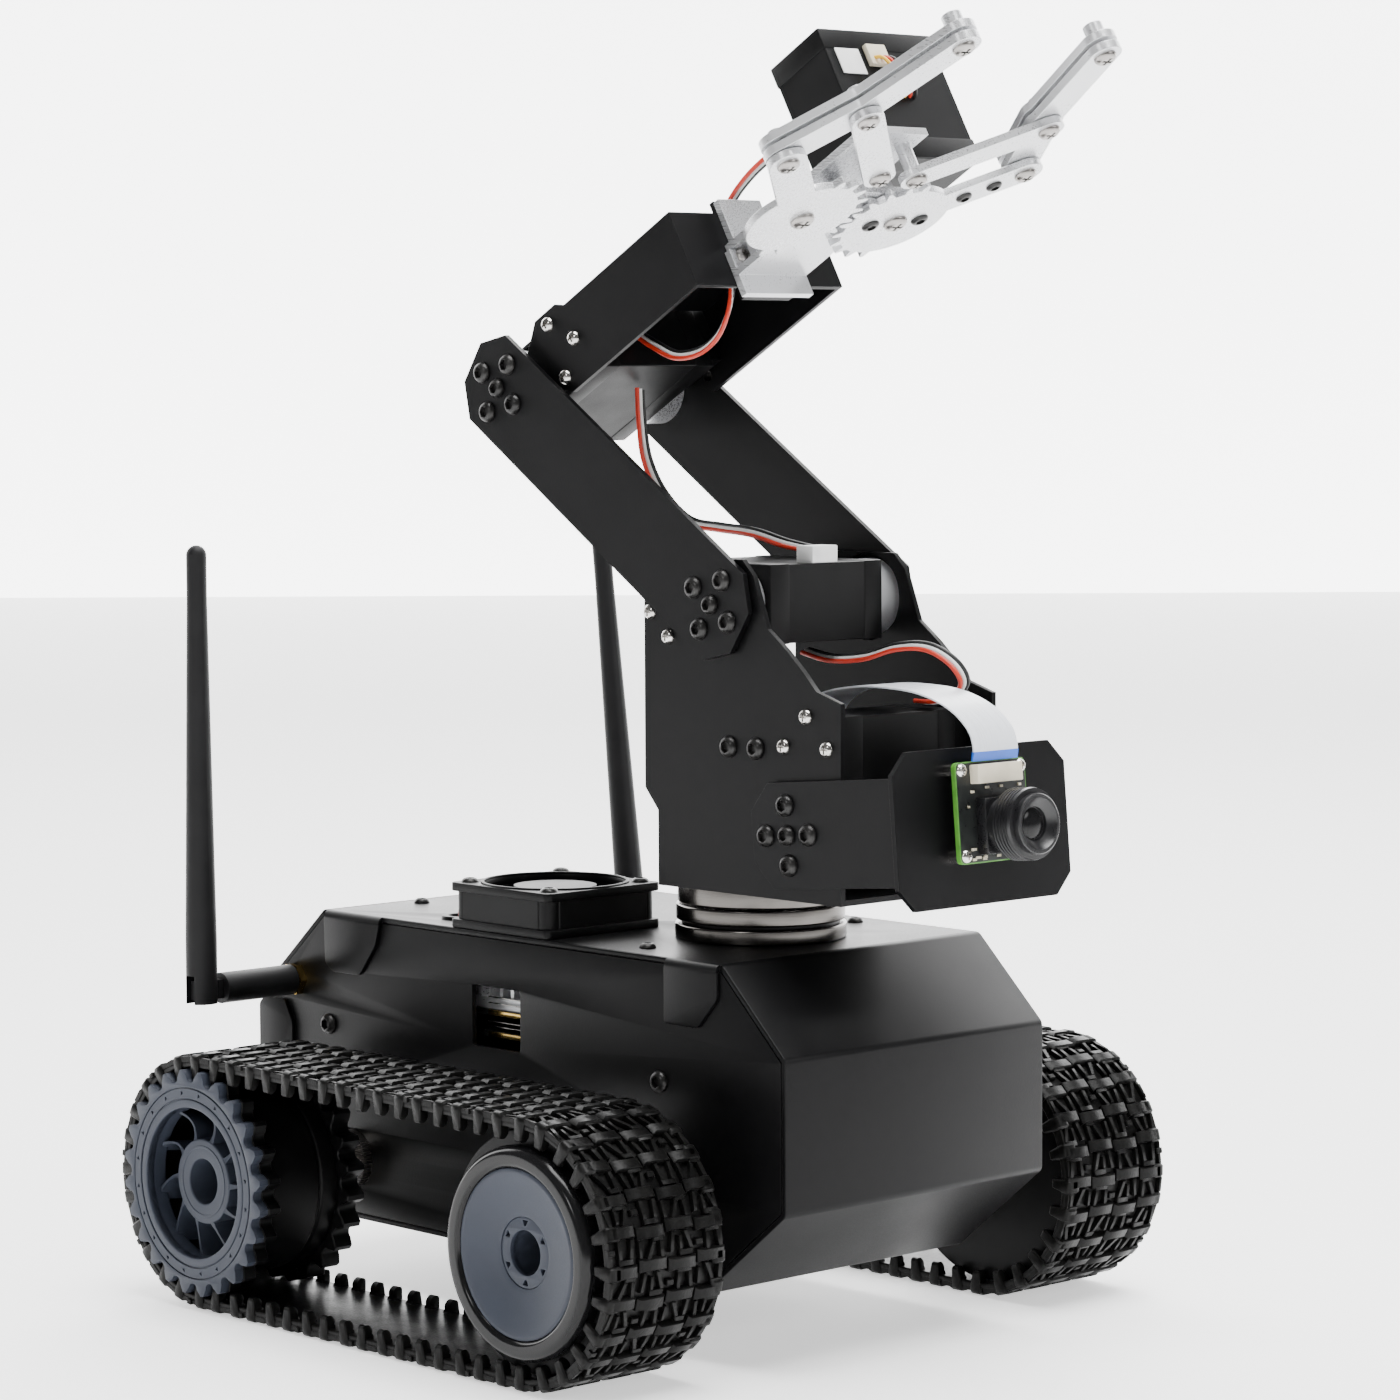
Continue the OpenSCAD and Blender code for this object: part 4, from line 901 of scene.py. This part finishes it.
def fan():
    spot = shift(FAN[0], FAN[1], DECK_Z)

    def square(half, cut):
        corner = [(half, half - cut), (half - cut, half)]
        return [p for k in range(4) for p in spun(corner, math.pi / 2 * k)]

    opening = disc_points(0, 0, 18.8, 72)
    corners = [disc_points(x, y, 1.7, 20) for x in (-16, 16) for y in (-16, 16)]
    flange = rounded(square(20, 1.2), 1.0, 3)
    meshes = [plate_mesh("low", [flange, opening] + corners, 0, 2.3, spot, 0.3, 2),
              plate_mesh("wall", [square(19.3, 4.2), opening], 2.2, 9.8, spot, 0.1, 1),
              plate_mesh("high", [flange, opening] + corners, 9.7, 12, spot, 0.3, 2)]
    bm = bmesh.new()
    revolve(bm, rounded([(18.8, 11.8), (19.7, 11.8), (19.7, 12.5), (18.8, 12.5)], 0.25), 72)
    revolve(bm, [(0, 0.2), (11, 0.2), (11, 1.4), (0, 1.4)], 48)
    for x in (-16, 16):
        for y in (-16, 16):
            revolve(bm, [(1.8, 2), (3.1, 2), (3.1, 10), (1.8, 10)], 24, shift(x, y))
    for a in (40, 130, 220, 310):
        made = add_block(bm, (10, -1, 0.2), (19.2, 1, 1.4))
        bmesh.ops.transform(bm, matrix=turn("Z", a), verts=made["verts"])
    bmesh.ops.recalc_face_normals(bm, faces=bm.faces)
    meshes.append(to_mesh("lip", bm, spot))
    add("fan_housing", join("fan_housing", meshes), "hull", "plastic", ("fan_frame",))
    screws("fan_screws", "hull", "screw",
           [(spot @ shift(x, y, 11.6), 2.5, 1.5, "hex") for x in (-16, 16) for y in (-16, 16)])


fan()

BORE = 12


def ring_stack(name, rings, body, replaces):
    bm = bmesh.new()
    for radius, low, high in rings:
        outline = rounded([(BORE, low), (radius, low), (radius, high), (BORE, high)], 0.55, 4)
        revolve(bm, outline, 128, shift(TURNTABLE_X))
    piece(name, bm, body, "ring", "steel", replaces, angle=50)


ring_stack("turntable_rings", [(22.4, 101.4, 105.35), (22.1, 106.2, 110.4)], "hull", ("turntable_base",))
ring_stack("turntable_cap", [(21.6, 110.7, 116.3)], "arm_base", ("turntable_top",))
bm = bmesh.new()
revolve(bm, [(BORE, 105), (20.6, 105), (20.6, 106.5), (BORE, 106.5)], 96, shift(TURNTABLE_X))
piece("turntable_gap", bm, "hull", "plastic", "steel")

# ---------------------------------------------------------------- sheet frames

for name, node, body in (
        ("base_sheet", "base_frame", "arm_base"), ("bracket_sheet", "camera_bracket", "camera"),
        ("right_arm_sheet", "right_upper_arm", "upper_arm"), ("left_arm_sheet", "left_upper_arm", "upper_arm"),
        ("forearm_sheet", "forearm_frame", "forearm")):
    eased_copy(name, node, body, "powder", 0.3)

# ---------------------------------------------------------------- servos


def servo(node, body, matrix, low, high, along):
    """The CAD case with its two end caps standing a little proud, so that the seams show."""
    eased_copy(f"{node}_case", node, body, "plastic", 0.5, 3)
    bm = bmesh.new()
    depth = high[along] - low[along]
    for start, stop in ((0, 0.17), (0.84, 1)):
        a, b = [v - 0.2 for v in low], [v + 0.2 for v in high]
        a[along] = low[along] + depth * start + (0.02 if start else 0.1)
        b[along] = low[along] + depth * stop - (0.02 if not start else 0.1)
        add_block(bm, a, b, 0.5)
    piece(f"{node}_caps", bm, body, "plastic", "black_plastic", (), matrix)


servo("shoulder_servo", "arm_base", IDENTITY, (31, -20, 179.4), (72, 20, 199.4), 1)
servo("tilt_servo", "arm_base", IDENTITY, (78.1, -20, 121.4), (98.1, 20, 162.4), 1)
servo("elbow_servo", "forearm", FOREARM, (-11.5, -20, -10), (29.5, 20, 10), 1)
servo("gripper_servo", "forearm", FOREARM, (100, 5, -0.5), (119.5, 46, 37.5), 2)

for name, low, high, ease, body, material, slot, matrix in (
        ("gripper_servo_label", (119.6, 8, 24), (119.95, 16.5, 31.5), 0.1,
         "forearm", "white", "black_plastic", FOREARM),
        ("gripper_servo_socket", (119.6, 18.5, 26.5), (121.2, 25.5, 32.5), 0.3,
         "forearm", "cream", "black_plastic", FOREARM),
        ("shoulder_plug", (65.5, -4.5, 199.2), (71.5, 4.5, 203.8), 0.4,
         "arm_base", "white", "wire", IDENTITY)):
    bm = bmesh.new()
    add_block(bm, low, high, ease)
    piece(name, bm, body, material, slot, (), matrix)
for color, material, y in (("yellow", "yellow", 20.2), ("red", "red", 22), ("black", "wire_black", 23.8)):
    loop = [(121, y, 28.5), (123.2, y + 0.6, 27), (123.6, y + 2.5, 23), (122.6, y + 5, 19.5),
            (120.6, y + 6.5, 18.2), (119.4, y + 7, 18)]
    mesh = tube_mesh("wire", loop, 0.5, FOREARM, 10)
    add(f"gripper_plug_{color}", mesh, "forearm", material, angle=60)

# ---------------------------------------------------------------- horns

ALU_DISC = [(0, 20.3), (9.4, 20.3), (10, 20.9), (10, 27.7), (9.7, 28.25), (0, 28.25)]


def horns(name, body, matrix, replaces):
    bm = bmesh.new()
    for side in (-90, 90):
        revolve(bm, rounded(ALU_DISC, 0.3, 3, closed=False), 64, turn("X", side), closed=False)
        revolve(bm, [(0, 17.8), (2.9, 17.8), (2.9, 20.4), (0, 20.4)], 32, turn("X", side), closed=False)
    piece(name, bm, body, "alu", "aluminium", replaces, matrix)


horns("camera_discs", "camera", CAMERA, ("camera_horns",))

# ---------------------------------------------------------------- camera


def camera_head():
    outline = rounded([(-13.5, -9), (11.5, -9), (11.5, 16), (-13.5, 16)], 1.6, 4)
    holes = [disc_points(y, z, 1.05, 20) for y in (-11.5, 9.5) for z in (-7, 14)]
    core = plate_mesh("core", [outline] + holes, 42, 43.4, CAMERA @ ALONG_X, 0.06)
    add("camera_board_core", core, "camera", "board", ("camera_board",))
    inner = rounded([(-13.2, -8.7), (11.2, -8.7), (11.2, 15.7), (-13.2, 15.7)], 1.5, 4)
    add("camera_board_front", plate_mesh("mask", [inner] + holes, 43.35, 43.5, CAMERA @ ALONG_X, 0.03),
        "camera", "board_dark")
    bm = bmesh.new()
    for y in (-11.5, 9.5):
        for z in (-7, 14):
            revolve(bm, [(0, 38.8), (1.8, 38.8), (1.8, 42.05), (0, 42.05)], 24,
                    shift(0, y, z) @ turn("Y", 90), closed=False)
    piece("camera_standoffs", bm, "camera", "bright", "board", (), CAMERA)
    screws("camera_board_screws", "camera", "bright",
           [(shift(43.45, y, z) @ turn("Y", 90), 1.7, 1.0, "cross") for y in (-11.5, 9.5) for z in (-7, 14)],
           (), CAMERA)
    bm = bmesh.new()
    pick = random.Random(5)
    for _chip in range(26):
        y, z = pick.uniform(-11.5, 9.5), pick.choice((-8, 8.6, 9.4, -7.6, 2, 5, -3, -5.5))
        if abs(y) < 7.6 and abs(z) < 7.6:
            y = 9 if y > 0 else -10
        add_block(bm, (43.4, y - 0.5, z - 0.3), (43.95, y + 0.5, z + 0.3))
    piece("camera_chips", bm, "camera", "cream", "board", (), CAMERA)
    bm = bmesh.new()
    add_block(bm, (43.4, -7, -7), (46.8, 7, 7), 0.5)
    barrel = [(0, 46.6), (7, 46.6), (7, 49.5), (8.6, 49.9)]
    for k in range(5):
        barrel += [(9, 50.2 + k), (9, 50.65 + k), (8.75, 50.8 + k), (8.75, 51.1 + k)]
    barrel += [(9, 55.3), (8.8, 56.1), (7.5, 56.2), (7.5, 57.6), (7.25, 57.8), (6.5, 57.8), (6.1, 57.2),
               (4.3, 56.1), (4.1, 55.4), (0, 55.4)]
    revolve(bm, barrel, 72, turn("Y", 90), closed=False)
    piece("camera_barrel", bm, "camera", "lens", "lens", ("camera_lens",), CAMERA)
    bm = bmesh.new()
    dome = [(4.0 * math.sin(a), 55.2 + 1.0 * math.cos(a)) for a in [math.pi / 2 * k / 8 for k in range(9)]]
    revolve(bm, dome + [(0, 55.2)], 48, turn("Y", 90), closed=False)
    piece("camera_glass", bm, "camera", "gloss", "lens", (), CAMERA, 60)
    bm = bmesh.new()
    add_block(bm, (43.4, -8.5, 10.5), (46.4, 7.5, 15.2), 0.35)
    piece("camera_socket", bm, "camera", "cream", "lens", (), CAMERA)


camera_head()

# ---------------------------------------------------------------- gripper

JAW = -12.8
CRANK, LINK, P1, P2, TIP = (109.5, 16.5), (129.5, 6.5), (134.1, 42), (154.1, 32), (184, 25)
for name, node, body in (("gripper_plates", "gripper_mount", "forearm"),
        ("right_crank_plate", "right_crank", "right_crank_body"),
        ("left_crank_plate", "left_crank", "left_crank_body"),
        ("right_link_plate", "right_link", "right_link_body"),
        ("left_link_plate", "left_link", "left_link_body"),
        ("right_finger_bars", "right_finger", "right_finger_body"),
        ("left_finger_bars", "left_finger", "left_finger_body")):
    eased_copy(name, node, body, "alu", 0.2)


def under(u, y, m, r=2.9, h=1.5):
    return (shift(u, y, JAW + m) @ turn("X", 180), r, h, "cross")


def over(u, y, m):
    return (shift(u, y, JAW + m), 2.9, 1.5, "cross")


for side, sign in (("right", -1), ("left", 1)):
    screws(f"{side}_crank_screws", f"{side}_crank_body", "steel",
           [under(CRANK[0], sign * CRANK[1], -1.0, 3.2, 1.6)], (), FOREARM)
    screws(f"{side}_link_screws", f"{side}_link_body", "steel",
           [under(LINK[0], sign * LINK[1], -1.0)], (), FOREARM)
    screws(f"{side}_finger_screws", f"{side}_finger_body", "steel",
           [under(P1[0], sign * P1[1], -1.0), under(P2[0], sign * P2[1], -1.0),
            under(TIP[0], sign * TIP[1], 1.3), over(P1[0], sign * P1[1], 6.7),
            over(P2[0], sign * P2[1], 6.7), over(TIP[0], sign * TIP[1], 6.7)],
           (), FOREARM)
screws("left_crank_plugs", "left_crank_body", "screw",
       [(shift(u, y, JAW - 1) @ turn("X", 180), r, 0.9, "hex")
        for u, y, r in ((107.7, 9.2, 2.4), (111.3, 23.8, 2.4), (122.5, 30.0, 2.2), (128.2, 35.9, 2.2))],
       (), FOREARM)
screws("gripper_flange_screws", "forearm", "steel",
       [(shift(79, y, -6) @ turn("Y", 90), 2.4, 1.4, "cross") for y in (-8, 8)], (), FOREARM)

# ---------------------------------------------------------------- what the side window shows

for name, material, levels in (("board_edges", "gold", ((72.7, 74.1), (78.5, 79.9))),
        ("board_pins", "bright", ((75.4, 75.7), (76.7, 77.0), (81.6, 81.9), (83.2, 83.5)))):
    bm = bmesh.new()
    for low, high in levels:
        add_block(bm, (-14, -41.5, low), (4.2, -40.9, high), 0.1)
    piece(name, bm, "hull", material, "board")

# ---------------------------------------------------------------- rear panel

bm = bmesh.new()
revolve(bm, rounded([(2.9, 0), (5.6, 0), (5.6, 1.5), (2.9, 1.5)], 0.35), 48,
        shift(-105.9, -24, 60) @ turn("Y", -90))
piece("jack_ring", bm, "hull", "bright", "black_plastic")

# ---------------------------------------------------------------- what the CAD already has right

SLOT_MATERIAL = {
    "black_sheet": "powder", "black_screw": "screw", "steel": "steel", "aluminium": "alu",
    "wheel_grey": "slate", "tyre_black": "gloss", "track_rubber": "rubber", "black_plastic": "plastic",
    "antenna_black": "antenna", "gold": "gold", "board": "board_dark", "lens": "lens",
    "ribbon": "ribbon", "wire": "red", "cell": "cell", "rocker_red": "rocker",
}
for part in frame["record"]["subparts"]:
    mesh = frame["nodes"][part["node"]].data
    for i in range(len(mesh.materials)):
        mesh.materials[i] = M[SLOT_MATERIAL[part["material_slot"]]]

# ---------------------------------------------------------------- studio

def light(name, place, target, size, power, size_y=None):
    data = bpy.data.lights.new(name, "AREA")
    data.energy = power
    data.size = size
    if size_y:
        data.shape = "RECTANGLE"
        data.size_y = size_y
    lamp = bpy.data.objects.new(name, data)
    lamp.location = place
    lamp.rotation_euler = (Vector(target) - Vector(place)).to_track_quat("-Z", "Y").to_euler()
    bpy.context.scene.collection.objects.link(lamp)


light("top", (0.25, 0.1, 1.6), (0.0, 0, 0.1), 1.1, 60, 1.1)
light("front", (1.5, 0.45, 0.9), (0.05, 0, 0.15), 0.6, 7, 0.5)
light("rim", (-0.9, 1.0, 1.1), (0, 0, 0.2), 0.8, 10, 0.6)
light("key", (0.5, -1.4, 1.0), (0.05, 0, 0.15), 0.35, 5, 0.35)

world = bpy.data.worlds.new("studio")
world.use_nodes = True
world.node_tree.nodes["Background"].inputs["Color"].default_value = (1, 1, 1, 1)
world.node_tree.nodes["Background"].inputs["Strength"].default_value = 0.15
bpy.context.scene.world = world


def stage_sheet(name, corners, matrix, scale, low, high, glow, glow_only):
    """A pale sheet of floor or backdrop; its patchy tone lies on the surface, or only in its glow."""
    mesh = bpy.data.meshes.new(name)
    mesh.from_pydata(corners, [], [(0, 1, 2, 3)])
    sheet = bpy.data.objects.new(name, mesh)
    sheet.matrix_world = matrix
    bpy.context.scene.collection.objects.link(sheet)
    material, tree, shader, coords = node_tree(name)
    tone = ramp(tree, noise(tree, coords, scale), (low,) * 3, (high,) * 3)
    tree.links.new(tone, shader.inputs["Emission Color" if glow_only else "Base Color"])
    if not glow_only:
        shader.inputs["Roughness"].default_value = 0.9
        shader.inputs["Emission Color"].default_value = (1, 1, 1, 1)
    shader.inputs["Emission Strength"].default_value = glow
    mesh.materials.append(material)


stage_sheet("floor", [(-6, -6, -0.0002), (6, -6, -0.0002), (6, 6, -0.0002), (-6, 6, -0.0002)], IDENTITY, 3,
        0.92,
            0.94, 0.85, False)
stage_sheet("backdrop", [(-7, 0, -0.1), (7, 0, -0.1), (7, 0, 5), (-7, 0, 5)],
            Matrix.Translation((-2.7, 2.5, 0)) @ Matrix.Rotation(YAW, 4, "Z"), 2, 0.95, 1.0, 5.2, True)
